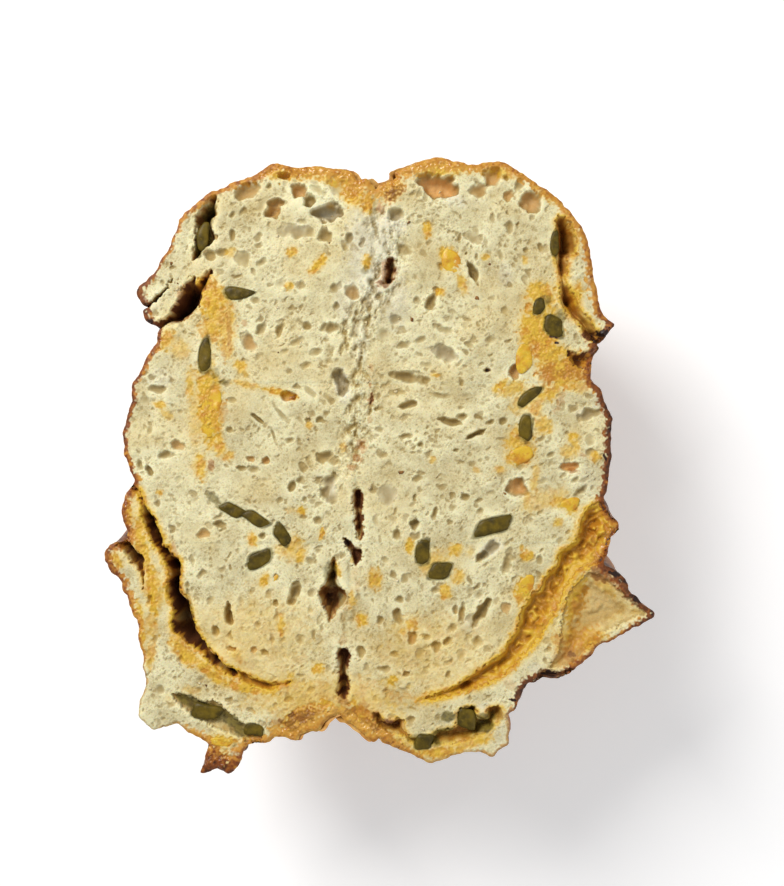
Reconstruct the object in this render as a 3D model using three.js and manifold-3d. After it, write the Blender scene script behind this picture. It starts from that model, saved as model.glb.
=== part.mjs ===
// A round sourdough loaf baked with jalapeno and cheddar. It is cut from the crown down to the
// base crust and opened flat like a book, so both cut faces look up and the torn base crust
// joins them down the middle. Each half stands on the round side of its own crust.
// Millimetres, +Z up, +Y along the hinge. Places on the cut faces are read off a photograph
// that looks straight down on them: [pixels across, pixels down].

import * as THREE from 'three';
import { mergeVertices } from 'three/addons/utils/BufferGeometryUtils.js';
import Module from 'manifold-3d';

// Driving dimensions.
const LOAF_LENGTH = 233;         // a cut face, crust to crust along the hinge
const LOAF_RADIUS = 116;         // the whole loaf's radius, which each half reaches downwards
const REST_FLAT = 0.985;         // share of that radius left above the flat spot it stands on
const CRUST_SHOULDER = 28;       // height of the widest ring above the base crust
const HINGE_DEPTH = 13;          // thickness of the torn crust that joins the halves
const HINGE_OVERLAP = 3;         // how far each half runs past the seam within that thickness
const BASE_SPREAD = 8;           // gap from the seam to each base crust, at the bottom
const BASE_ROUNDING = 8;         // exponent: how late the flat base turns into the shoulder
const CROWN_ROUNDING = 2.7;      // exponent: how full the dome is, 2 for a plain ellipsoid
const EAR_REACH = 62;            // depth at which the torn ears have sunk into the dome
const CLEARANCE = 0.3;           // gap between an inclusion and the crumb round it
const CUT_MARGIN = 2;            // how far a cutter rises above the cut face

// How the photograph's pixels become millimetres.
const PHOTO_LOAF_LENGTH = 582.5;
const PHOTO_CENTRE = [379.75, 467.57];
const MM_PER_PIXEL = LOAF_LENGTH / PHOTO_LOAF_LENGTH;

// Fineness of the faceted surfaces.
const RIM_STEPS = 104;
const DEPTH_STEPS = 10;
const SLIT_STEPS = 3;
const SLIT_FINENESS = 1.5;       // corners of a slit's outline for each drawn point
const HOLLOW_SIDES = 10;
const HOLLOW_RINGS = 6;
const INCLUSION_SIDES = 10;
const INCLUSION_RINGS = 6;

// The seam runs between the two notches where the rims meet.
const TOP_NOTCH = [376, 189];
const BOTTOM_NOTCH = [339, 714.5];

// Rims of the cut faces with their torn ears, from notch to notch.
const LEFT_RIM = [
    TOP_NOTCH, [359, 179], [340, 168], [314, 164], [272, 165], [251, 176], [220, 189], [199, 200],
    [179, 221], [167, 251], [155, 270], [137, 288], [138, 298], [145, 306], [143, 318], [155, 325],
    [157, 336], [149, 351], [136, 378], [132, 400], [123, 431], [124, 455], [132, 480], [128, 492],
    [122, 510], [126, 532], [112, 543], [105, 555], [110, 571], [122, 590], [135, 616], [139, 640],
    [143, 662], [145, 686], [138, 715], [154, 729], [178, 725], [198, 739], [206, 752], [200, 775],
    [228, 774], [243, 752], [270, 742], [298, 740], [318, 730], BOTTOM_NOTCH,
];
const RIGHT_RIM = [
    BOTTOM_NOTCH, [359, 729], [374, 742], [388, 745], [410, 755], [430, 764], [453, 756],
    [475, 752], [492, 757], [508, 745], [509, 724], [516, 703], [528, 685], [548, 680], [570, 673],
    [597, 650], [622, 636], [655, 614], [638, 598], [626, 582], [606, 566], [608, 548], [620, 527],
    [611, 515], [604, 499], [608, 481], [612, 450], [612, 420], [603, 394], [591, 374], [598, 348],
    [604, 339], [614, 323], [601, 309], [598, 290], [592, 258], [588, 237], [566, 207], [545, 188],
    [515, 168], [500, 161], [470, 164], [441, 157.5], [415, 163], [397, 169], [386, 180], TOP_NOTCH,
];

// The same rims without ears: the plain round dome that each half turns into further down.
const LEFT_BELLY = [
    TOP_NOTCH, [340, 170], [290, 165], [235, 184], [190, 220], [155, 275], [137, 340], [130, 420],
    [133, 500], [145, 575], [165, 640], [200, 700], [250, 735], [300, 738], BOTTOM_NOTCH,
];
const RIGHT_BELLY = [
    BOTTOM_NOTCH, [375, 738], [430, 752], [480, 742], [530, 702], [575, 640], [602, 570],
    [613, 490], [614, 420], [607, 350], [592, 270], [565, 207], [520, 172], [470, 161], [420, 162],
    TOP_NOTCH,
];

// Hollows with a drawn outline: slits under the ears, torn seams and cheese-lined troughs.
const SLITS = [
    { depth: 38, outline: [
        [146, 328], [155, 323], [166, 315], [178, 298], [184, 283], [196, 277], [213, 270],
        [206, 287], [199, 304], [190, 316], [176, 323], [157, 333]] },
    { depth: 44, outline: [
        [130, 486], [141, 494], [149, 509], [161, 533], [171, 553], [181, 570], [181, 593],
        [191, 609], [198, 631], [210, 649], [227, 665], [262, 680], [290, 683], [268, 691],
        [241, 683], [216, 669], [195, 649], [171, 631], [172, 606], [166, 585], [164, 562],
        [150, 540], [139, 515], [135, 497]] },
    { depth: 26, outline: [[112, 540], [126, 541], [136, 551], [143, 565], [144, 590], [137, 570],
        [126, 556]] },
    { depth: 18, outline: [
        [214, 195], [217, 213], [211, 226], [216, 238], [206, 247], [198, 257], [193, 258],
        [194, 225], [197, 214], [205, 203]] },
    { depth: 34, outline: [
        [557, 218], [570, 220], [576, 235], [576, 254], [568, 262], [568, 280], [580, 303],
        [592, 318], [606, 338], [606, 348], [596, 341], [583, 333], [572, 318], [560, 302],
        [558, 262], [556, 240]] },
    { depth: 15, outline: [
        [604, 512], [590, 540], [572, 562], [557, 590], [545, 614], [530, 642], [508, 668],
        [475, 688], [440, 698], [430, 694], [470, 676], [500, 655], [516, 632], [520, 613],
        [533, 590], [552, 566], [575, 535], [586, 512]] },
    { depth: 7, outline: [
        [600, 509], [622, 518], [607, 548], [601, 563], [608, 578], [642, 608], [632, 618],
        [600, 634], [575, 660], [552, 664], [560, 640], [565, 615], [568, 590], [580, 560]] },
    { depth: 14, outline: [
        [380, 722], [402, 722], [408, 732], [435, 733], [455, 728], [462, 708], [475, 708],
        [485, 718], [500, 708], [500, 725], [485, 740], [455, 742], [425, 752], [400, 740],
        [383, 735]] },
    { depth: 9, outline: [[353, 490], [364, 492], [364, 536], [354, 546], [350, 538]] },
    { depth: 10, outline: [
        [333, 557], [343, 568], [350, 600], [341, 614], [329, 622], [318, 597], [325, 575]] },
    { depth: 10, outline: [[337, 648], [350, 652], [348, 700], [336, 694]] },
    { depth: 7, outline: [[384, 256], [396, 258], [393, 284], [382, 282]] },
];

// Gas bubbles opened by the knife: centre, half sizes and turn in degrees.
const BUBBLES = [
    [284, 176, 8, 4, 0], [298, 190, 8, 8, 0], [248, 191, 14, 7, -20], [274, 208, 8, 11, 30],
    [309, 200, 7, 8, 0], [328, 211, 15, 9, 0], [325, 236, 7, 8, 0], [210, 255, 5, 5, 0],
    [252, 345, 7, 9, 0], [306, 326, 7, 5, 0], [330, 328, 9, 6, 0], [352, 292, 7, 9, 0],
    [178, 445, 7, 5, 0], [342, 385, 7, 17, 0], [220, 524, 8, 4, 15], [229, 615, 4, 12, 0],
    [291, 590, 7, 12, 10], [438, 186, 22, 12, 8], [494, 176, 12, 9, 0], [478, 190, 8, 7, 0],
    [530, 201, 10, 12, 0], [508, 194, 5, 6, 0], [395, 215, 8, 6, 0], [518, 487, 11, 8, -15],
    [515, 372, 6, 9, 0], [568, 468, 9, 5, 0], [585, 414, 10, 6, 0], [472, 272, 4, 16, -20],
    [430, 302, 7, 9, 10], [445, 353, 14, 6, 15], [408, 377, 16, 5, 0], [490, 551, 14, 7, -30],
    [484, 613, 6, 15, 20], [412, 637, 6, 6, 0], [435, 642, 7, 5, 0],
];
const BUBBLE_DEPTH = 0.8;        // depth of a bubble as a share of its mean radius

// Chunks of jalapeno and of cheese that keep their own form: centre, half sizes and turn.
const JALAPENOS = [
    [203, 236, 6, 14, 5], [240, 293, 16, 9, 0], [205, 355, 7, 18, 0], [232, 510, 12, 6, 30],
    [256, 519, 13, 6, 35], [282, 535, 11, 7, 50], [260, 559, 13, 9, -20], [207, 712, 15, 9, 10],
    [254, 730, 10, 7, 10], [555, 243, 5, 13, 0], [539, 306, 7, 8, 0], [554, 326, 11, 11, 0],
    [530, 396, 15, 6, -38], [526, 427, 7, 13, 0], [493, 526, 18, 9, -12], [423, 552, 8, 13, 0],
    [440, 571, 11, 9, 0], [467, 719, 10, 10, 0], [424, 742, 9, 8, 0],
];
const CHEESES = [
    [211, 412, 11, 24, 5], [524, 357, 9, 16, 0], [452, 262, 10, 14, -35], [520, 456, 14, 9, -20],
    [568, 506, 13, 7, -25], [526, 586, 8, 12, 20], [272, 578, 6, 9, 35], [222, 742, 12, 5, 5],
];
const JALAPENO_DEPTH = 1.0;      // depth below the cut as a share of the mean radius
const CHEESE_DEPTH = 0.6;

const wasm = await Module();
wasm.setup();

const cutHeight = LOAF_RADIUS * REST_FLAT;

function place([across, down]) {
    return new THREE.Vector2(
        (across - PHOTO_CENTRE[0]) * MM_PER_PIXEL,
        (PHOTO_CENTRE[1] - down) * MM_PER_PIXEL);
}

const seamTop = place(TOP_NOTCH);
const seamBottom = place(BOTTOM_NOTCH);
const loafCentre = (seamTop.y + seamBottom.y) / 2;

function seamAt(y) {
    return THREE.MathUtils.mapLinear(y, seamBottom.y, seamTop.y, seamBottom.x, seamTop.x);
}

// A smooth run through hand-placed points, evenly spaced.
function run(points, closed, steps) {
    const path = points.map((point) => new THREE.Vector3(...place(point).toArray(), 0));
    const curve = new THREE.CatmullRomCurve3(path, closed, 'centripetal');
    const spaced = curve.getSpacedPoints(steps).map(({ x, y }) => new THREE.Vector2(x, y));
    return closed ? spaced.slice(0, -1) : spaced;
}

// Where a point of the cut face goes at some depth below it: the loaf is round, so it draws in
// towards the loaf's centre, the crown as a dome and the base crust staying flat to the shoulder.
function domed(x, y, depth, side = Math.sign(x - seamAt(y)), overlap = 0) {
    const drop = THREE.MathUtils.clamp(depth / LOAF_RADIUS, 0, REST_FLAT);
    const newY = loafCentre + (y - loafCentre) * Math.sqrt(1 - drop ** 2);
    const height = side * (x - seamAt(y));
    let newHeight;
    if (height < CRUST_SHOULDER) {
        const flat = Math.sqrt(1 - drop ** BASE_ROUNDING);
        const nearness = 1 - height / CRUST_SHOULDER;
        newHeight = CRUST_SHOULDER - (CRUST_SHOULDER - height + overlap * nearness) * flat;
    } else {
        const drawn = (1 - drop ** CROWN_ROUNDING) ** (1 / CROWN_ROUNDING);
        newHeight = CRUST_SHOULDER + (height - CRUST_SHOULDER) * drawn;
    }
    return new THREE.Vector3(seamAt(newY) + side * newHeight, newY, cutHeight - depth);
}

// How far a half runs past the seam: into its neighbour in the hinge, and short of it below.
function overlapAt(depth) {
    return THREE.MathUtils.mapLinear(
        Math.max(depth, HINGE_DEPTH), HINGE_DEPTH, LOAF_RADIUS, HINGE_OVERLAP, -BASE_SPREAD);
}

function solidFrom(geometry) {
    geometry.deleteAttribute('normal');
    geometry.deleteAttribute('uv');
    const merged = mergeVertices(geometry);
    return new wasm.Manifold(new wasm.Mesh({
        numProp: 3,
        vertProperties: merged.attributes.position.array,
        triVerts: new Uint32Array(merged.index.array),
    }));
}

function geometryFrom(solid) {
    const mesh = solid.getMesh();
    const geometry = new THREE.BufferGeometry();
    geometry.setAttribute('position', new THREE.BufferAttribute(mesh.vertProperties, 3));
    geometry.setIndex(new THREE.BufferAttribute(mesh.triVerts, 1));
    geometry.computeVertexNormals();
    return geometry;
}

function moveVertices(geometry, move) {
    const { position } = geometry.attributes;
    const vertex = new THREE.Vector3();
    for (let i = 0; i < position.count; i += 1) {
        vertex.fromBufferAttribute(position, i);
        position.setXYZ(i, ...move(vertex).toArray());
    }
    return geometry;
}

// One half: its rim runs down the dome, and the ears fade into the plain belly as it goes.
function half(rimPoints, bellyPoints, side) {
    const rim = run(rimPoints, false, RIM_STEPS);
    const belly = run(bellyPoints, false, RIM_STEPS);
    const stations = new Map(rim.map(({ x, y }, i) => [stationKey(x, y), i]));
    const geometry = new THREE.ExtrudeGeometry(
        new THREE.Shape(rim), { depth: 1, steps: DEPTH_STEPS, bevelEnabled: false });
    const steepest = Math.asin(REST_FLAT);
    return solidFrom(moveVertices(geometry, (vertex) => {
        const depth = LOAF_RADIUS * Math.sin((1 - vertex.z) * steepest);
        const plain = belly[stations.get(stationKey(vertex.x, vertex.y))];
        const fade = THREE.MathUtils.smoothstep(depth, 0, EAR_REACH);
        const x = THREE.MathUtils.lerp(vertex.x, plain.x, fade);
        const y = THREE.MathUtils.lerp(vertex.y, plain.y, fade);
        return domed(x, y, depth, side, overlapAt(depth));
    }));
}

function stationKey(x, y) {
    return `${Math.fround(x)} ${Math.fround(y)}`;
}

// A slit or trough: its drawn outline carried down along the dome.
function slit({ depth, outline }) {
    const edge = run(outline, true, Math.round(outline.length * SLIT_FINENESS));
    const geometry = new THREE.ExtrudeGeometry(
        new THREE.Shape(edge), { depth: 1, steps: SLIT_STEPS, bevelEnabled: false });
    return solidFrom(moveVertices(geometry, (vertex) => {
        const below = depth - vertex.z * (depth + CUT_MARGIN);
        return domed(vertex.x, vertex.y, below);
    }));
}

// An egg-shaped body sunk half into the cut face, grown by a margin all round.
function egg([across, down, halfWidth, halfHeight, turn], depthShare, margin, sides, rings) {
    const { x, y } = place([across, down]);
    const a = halfWidth * MM_PER_PIXEL;
    const b = halfHeight * MM_PER_PIXEL;
    const deep = (a + b) / 2 * depthShare;
    const geometry = new THREE.SphereGeometry(1, sides, rings);
    geometry.rotateX(Math.PI / 2);
    geometry.scale(a + margin, b + margin, deep + margin);
    geometry.rotateZ(-THREE.MathUtils.degToRad(turn));
    geometry.translate(x, y, cutHeight);
    return solidFrom(geometry);
}

function inclusions(places, depthShare, name, material) {
    return places.map((where, i) => {
        const size = [INCLUSION_SIDES, INCLUSION_RINGS];
        const solid = egg(where, depthShare, 0, ...size).intersect(belowCut);
        const mesh = new THREE.Mesh(geometryFrom(solid), material);
        mesh.name = `${name}_${String(i + 1).padStart(2, '0')}`;
        return { mesh, seat: egg(where, depthShare, CLEARANCE, ...size) };
    });
}

const belowCut = solidFrom(new THREE.BoxGeometry(
    2 * LOAF_LENGTH, 2 * LOAF_LENGTH, cutHeight).translate(0, 0, cutHeight / 2));

const jalapenos = inclusions(JALAPENOS, JALAPENO_DEPTH, 'jalapeno', new THREE.MeshStandardMaterial(
    { color: '#6f6a22', roughness: 0.35, metalness: 0 }));
const cheeses = inclusions(CHEESES, CHEESE_DEPTH, 'cheese', new THREE.MeshStandardMaterial(
    { color: '#dfa63a', roughness: 0.4, metalness: 0 }));
const pieces = [...jalapenos, ...cheeses];

const hollows = [
    ...SLITS.map(slit),
    ...BUBBLES.map((bubble) => egg(bubble, BUBBLE_DEPTH, 0, HOLLOW_SIDES, HOLLOW_RINGS)),
    ...pieces.map(({ seat }) => seat),
];
const halves = half(LEFT_RIM, LEFT_BELLY, -1).add(half(RIGHT_RIM, RIGHT_BELLY, 1));
const loaf = new THREE.Mesh(
    geometryFrom(hollows.reduce((solid, hollow) => solid.subtract(hollow), halves)),
    new THREE.MeshStandardMaterial({ color: '#cdb68a', roughness: 0.85, metalness: 0 }));
loaf.name = 'loaf';

const group = new THREE.Group();
group.add(loaf, ...pieces.map(({ mesh }) => mesh));

export default group;
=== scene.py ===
"""Looks of a jalapeno and cheddar sourdough boule, cut from the crown and opened flat like a book.

The cut faces look up. Their crumb is a fine relief over one shared lattice, each half's crust is
a dome that hangs from the rim of its cut face, and chilli and cheese pieces sit in the crumb.
Places on the cut faces are read off the photograph: [pixels across, pixels down].
"""
import math

import bpy
import numpy as np
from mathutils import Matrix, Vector


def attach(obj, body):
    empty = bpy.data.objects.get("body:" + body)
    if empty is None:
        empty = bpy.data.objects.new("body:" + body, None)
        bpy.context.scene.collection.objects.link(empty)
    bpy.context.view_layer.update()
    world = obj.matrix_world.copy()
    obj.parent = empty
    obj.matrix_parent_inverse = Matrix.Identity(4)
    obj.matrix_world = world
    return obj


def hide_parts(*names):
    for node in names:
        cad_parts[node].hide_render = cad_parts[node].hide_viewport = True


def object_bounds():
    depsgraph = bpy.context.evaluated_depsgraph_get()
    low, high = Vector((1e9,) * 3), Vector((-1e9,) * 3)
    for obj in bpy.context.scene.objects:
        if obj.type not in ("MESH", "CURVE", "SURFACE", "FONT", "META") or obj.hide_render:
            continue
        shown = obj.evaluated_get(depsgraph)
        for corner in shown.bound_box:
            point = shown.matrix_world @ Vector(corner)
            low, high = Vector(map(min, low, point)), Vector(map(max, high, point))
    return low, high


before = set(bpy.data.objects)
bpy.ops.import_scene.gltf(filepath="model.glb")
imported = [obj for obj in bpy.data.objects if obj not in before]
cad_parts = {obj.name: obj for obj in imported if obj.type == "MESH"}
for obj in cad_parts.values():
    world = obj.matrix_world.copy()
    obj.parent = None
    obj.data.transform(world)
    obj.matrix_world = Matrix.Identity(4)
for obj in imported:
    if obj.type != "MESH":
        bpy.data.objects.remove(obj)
cad_low, cad_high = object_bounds()
bpy.ops.object.select_all(action="DESELECT")

# ---------------------------------------------------------------- dimensions, metres
MM = 0.001
LOAF_LENGTH = 233 * MM          # the cut face from crust to crust, along the hinge
LOAF_RADIUS = 116 * MM          # how deep each half would be if it didn't rest on a flat
CRUST_SHOULDER = 28 * MM        # how far out the curve of the base gives way to the crown's
HINGE_DEPTH = 13 * MM           # how deep the torn base crust joins the halves
HINGE_OVERLAP = 3 * MM          # how far each half runs past the seam there
BASE_SPREAD = 8 * MM            # how far each stands back from the seam at the bottom
BASE_ROUNDING = 8               # how square the curve of the base is; 2 would be round
CROWN_ROUNDING = 2.7            # the same for the crown
REST_FLAT = 0.985               # the share of the radius at which each half rests
EAR_REACH = 62 * MM             # depth at which the torn ears have sunk into the dome
CUT = cad_high.z
CELL = 0.30 * MM                # spacing of the crumb's lattice

PHOTO_LOAF_LENGTH = 582.5       # the same length in the photograph, pixels
PHOTO_CENTRE = (379.75, 467.57)   # the point of the photograph at the part's origin
PIXEL = LOAF_LENGTH / PHOTO_LOAF_LENGTH

# ---------------------------------------------------------------- places in the photograph
TOP_NOTCH = (376, 189)
BOTTOM_NOTCH = (339, 714.5)
LEFT_RIM = [
    TOP_NOTCH, (366, 178), (359, 180), (350, 172), (340, 168), (330, 168), (320, 165.5),
    (306, 167), (289, 166), (272, 164), (259, 171), (251, 176.5), (240, 180), (230, 183.5),
    (220, 189), (210, 192), (199, 200), (191, 208), (183, 214.5), (179, 221), (175.5, 232),
    (171, 241), (167, 251), (160, 260), (155.5, 269.5), (148, 279), (136.5, 289), (136.5, 295.5),
    (142.5, 304), (146, 306.5), (143, 309.5), (143, 318), (148, 323), (155.5, 326), (157.5, 334),
    (156.5, 342), (149.5, 351), (145.5, 359), (141, 369), (136, 378.5), (132.5, 382),
    (131, 394.5), (132, 402), (128.5, 410.5), (125, 421.5), (122.5, 431), (123, 441),
    (125.5, 448), (123.5, 454), (127, 460), (130.5, 471), (133.5, 482), (129.5, 488.5),
    (125.5, 495), (122, 508), (121.5, 514.5), (124, 523), (126.5, 530), (127, 538),
    (121, 543), (112.5, 542.5), (107.5, 547), (104.5, 555), (106, 563.5), (109.5, 570),
    (117, 577.5), (120.5, 582.5), (122, 590), (127.5, 597), (130, 607.5), (134, 615),
    (137.5, 625), (138, 635), (140, 643.5), (143, 658), (142.5, 665.5), (144, 675),
    (145.5, 685.5), (143.5, 693), (140, 702), (138.5, 716), (147.5, 725.5), (153, 730.5),
    (168, 726.5), (178, 724.5), (186.5, 732), (199.5, 739.5), (209, 745), (206, 752.5),
    (204.5, 762), (200, 774), (209, 772), (216.5, 769), (223, 772), (228.5, 774.5),
    (237, 767.5), (240.5, 762), (243, 752.5), (248, 745), (255.5, 743), (263, 743.5),
    (269.5, 742.5), (276, 737), (283.5, 738), (298.5, 740.5), (300.5, 735.5), (310, 732),
    (318, 730), (323, 724.5), (330, 718), BOTTOM_NOTCH,
]
RIGHT_RIM = [
    BOTTOM_NOTCH, (345, 722), (352, 724), (359, 730), (366, 737.5), (374, 742), (380, 738.5),
    (386, 744), (394, 747), (404, 752), (412, 755), (422, 760), (431, 764), (441, 761),
    (453, 756), (470, 752), (481, 753), (492, 757.5), (500, 750), (508, 744.5), (508, 736),
    (510, 726), (508, 716), (516, 708), (517, 702), (521, 696), (528, 684), (535, 683),
    (541.5, 679), (557, 679.5), (570, 673), (580, 665), (590, 657), (600, 645.5), (612, 641),
    (617.5, 638), (628, 631), (640, 625), (652, 619), (655, 614), (651, 610), (643, 604.5),
    (639, 599), (630, 591), (627, 583), (621, 575), (613, 568.5), (604, 565), (605, 559),
    (608, 553), (608, 548), (612, 538), (620, 528), (618, 521), (611, 517), (607, 508),
    (604, 499), (606, 493), (608, 481), (610, 468), (612, 455), (611, 444), (612, 426),
    (613, 419), (609, 410), (605, 402), (602, 393), (597, 386), (591.5, 379), (591, 368),
    (594.5, 357), (599, 349), (597, 343), (604, 340), (609, 333), (614, 324), (607, 319),
    (601, 308), (598, 297), (596, 283), (593, 271), (591, 258), (590, 250), (588.5, 240),
    (582, 228), (574, 216), (566, 207), (560, 199), (550, 191.5), (540, 185), (529, 178),
    (515, 168.5), (501, 160.5), (490.5, 161.5), (470, 164.5), (460, 161.5), (450, 159),
    (441.5, 157.5), (431, 158.5), (420, 162), (410, 165.5), (401, 168.5), (396, 172),
    (395.5, 177), (386.5, 181), (380, 184), TOP_NOTCH,
]
LEFT_BELLY = [
    TOP_NOTCH, (340, 170), (290, 165), (235, 184), (190, 220), (155, 275), (137, 340), (130, 420),
    (133, 500), (145, 575), (165, 640), (200, 700), (250, 735), (300, 738), BOTTOM_NOTCH,
]
RIGHT_BELLY = [
    BOTTOM_NOTCH, (375, 738), (430, 752), (480, 742), (530, 702), (575, 640), (602, 570),
    (613, 490), (614, 420), (607, 350), (592, 270), (565, 207), (520, 172), (470, 161),
    (420, 162), TOP_NOTCH,
]

# Slits and hollows: how deep in mm, how wide their walls slope in mm, and their outlines.
POCKETS = {
    "ear_slit": (9, 0.7, [
        (139, 306), (147, 304), (155.5, 296), (165, 287), (173, 278), (167, 290), (156.5, 300.5),
        (147, 308.5), (139, 309)]),
    "upper_left": (18, 3.0, [
        (143, 325), (158, 322.5), (165, 316), (170.5, 308.5), (177, 299.5), (180.5, 290),
        (185, 282.5), (194.5, 277), (196, 283), (202, 277), (208, 271), (213, 270), (206, 287),
        (203, 293.5), (200, 303), (195, 312), (190, 316), (182, 322), (176, 323.5),
        (168.5, 325.5), (158, 333), (150, 334)]),
    "shut_left": (13, 2.5, [
        (215, 194), (217, 213), (211, 225), (217, 238), (206, 248), (198, 258), (193, 261),
        (192.5, 249), (194.5, 237), (193.5, 225), (196, 214), (205, 202)]),
    "long_left": (20, 2.4, [
        (132, 485), (140, 491), (144, 501), (149, 509), (156.5, 522.5), (161, 533), (164, 540),
        (162, 546), (168.5, 546), (171.5, 553.5), (179.5, 559), (181.5, 568), (180, 582.5),
        (181.5, 593), (186.5, 597.5), (191, 609), (194, 621), (198.5, 631), (203, 640),
        (209.5, 648.5), (216, 654.5), (219.5, 659), (227, 665), (236, 670), (240, 677),
        (228, 675.5), (217, 669), (209.5, 663.5), (203.5, 654.5), (195, 648.5), (186, 643),
        (180, 637), (172, 631), (171.5, 621), (173, 610.5), (170, 602), (165.5, 590),
        (167.5, 580), (167.5, 571), (164, 562), (159.5, 552), (153.5, 544.5), (146.5, 530),
        (142, 519.5), (139, 497), (133, 491)]),
    "left_seam": (6, 1.6, [
        (236, 670), (250, 676), (262, 681), (275, 683), (292, 682), (281, 686), (271, 690.5),
        (255, 687), (242, 682)]),
    "cleft": (13, 1.6, [
        (116, 545), (123, 549), (130, 562), (137, 568), (142, 582.5), (144, 591), (144, 578),
        (143.5, 565), (142.5, 556), (135, 549), (126, 539)]),
    "upper_right": (13, 3.2, [
        (557, 217), (563, 216), (570, 221), (575, 232), (577, 245), (575, 255), (568, 258),
        (569, 268), (566, 280), (572, 290), (578, 300), (582, 310), (590, 318), (595, 326),
        (600, 332), (607, 339), (606, 344), (597, 342), (590, 338), (583, 333), (580, 325),
        (572, 317), (565, 310), (560, 300), (560, 280), (556, 262), (555, 250), (555.5, 235)]),
    "ledge_right": (5, 2.4, [
        (567, 350), (576, 353), (588, 351), (597, 346), (602, 350), (594, 362), (584, 368),
        (572, 364)]),
    "lower_left": (2.4, 1.6, [
        (172, 694), (182, 694), (190, 697), (205, 702), (214, 700), (222, 706), (232, 715),
        (240, 722), (252, 726), (263, 735), (258, 742), (246, 741), (232, 735), (214, 728),
        (196, 718), (182, 707)]),
    "trough": (4.8, 5.0, [
        (586, 510), (600, 502), (611, 517), (621, 524), (612, 538), (606, 548), (602, 562),
        (590, 566), (578, 572), (566, 590), (556, 612), (545, 630), (534, 646), (520, 660),
        (508, 672), (492, 682), (470, 690), (440, 698), (418, 701), (440, 692), (455, 686),
        (470, 676), (490, 662), (503, 652), (510, 640), (517, 630), (521, 612), (527, 603),
        (533, 592), (540, 590), (543, 580), (550, 572), (556, 565), (560, 552), (575, 542),
        (579, 530), (583, 515)]),
    "flap": (4.5, 5.0, [
        (592, 572), (606, 579), (622, 592), (640, 608), (646, 613), (628, 622), (612, 630),
        (600, 634), (588, 648), (575, 662), (560, 668), (548, 669), (556, 655), (560, 640),
        (563, 615), (568, 595), (580, 580)]),
    "flap_shade": (5, 2.0, [
        (538, 672), (546, 668), (560, 672), (572, 668), (566, 676), (550, 682), (538, 680)]),
    "under_right": (6.5, 1.8, [
        (372, 712), (380, 714), (384, 722), (392, 722), (396, 719), (403, 719), (404, 728),
        (412, 738), (432, 735), (436, 731), (455, 727), (458, 711), (462, 708), (475, 707),
        (478, 716), (486, 718), (488, 708), (501, 707), (503, 714), (492, 728), (480, 736),
        (462, 742), (445, 744), (430, 744), (415, 745), (402, 736), (388, 732), (376, 724)]),
    "slot_upper": (7, 1.6, [
        (353, 490), (359, 488), (364, 497), (363, 515), (364, 536), (357, 541), (354, 520)]),
    "slot_middle": (6, 1.4, [
        (344, 538), (350, 541), (356, 547), (362, 550), (361, 562), (354, 566), (351, 556),
        (346, 548)]),
    "hole": (13, 2.2, [
        (334, 556), (337, 566), (338, 580), (344, 590), (349, 600), (344, 607), (337, 613),
        (329, 622), (325, 611), (319, 601), (318, 592), (324, 583), (328, 570), (331, 560)]),
    "slot_lower": (7, 1.6, [
        (337, 649), (344, 647), (351, 652), (349, 670), (350, 690), (344, 700), (337, 694),
        (338, 675)]),
    "burnt_pit": (8, 1.8, [
        (386, 259), (394, 257), (398, 264), (396, 276), (391, 285), (383, 284), (384, 272)]),
}

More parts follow.
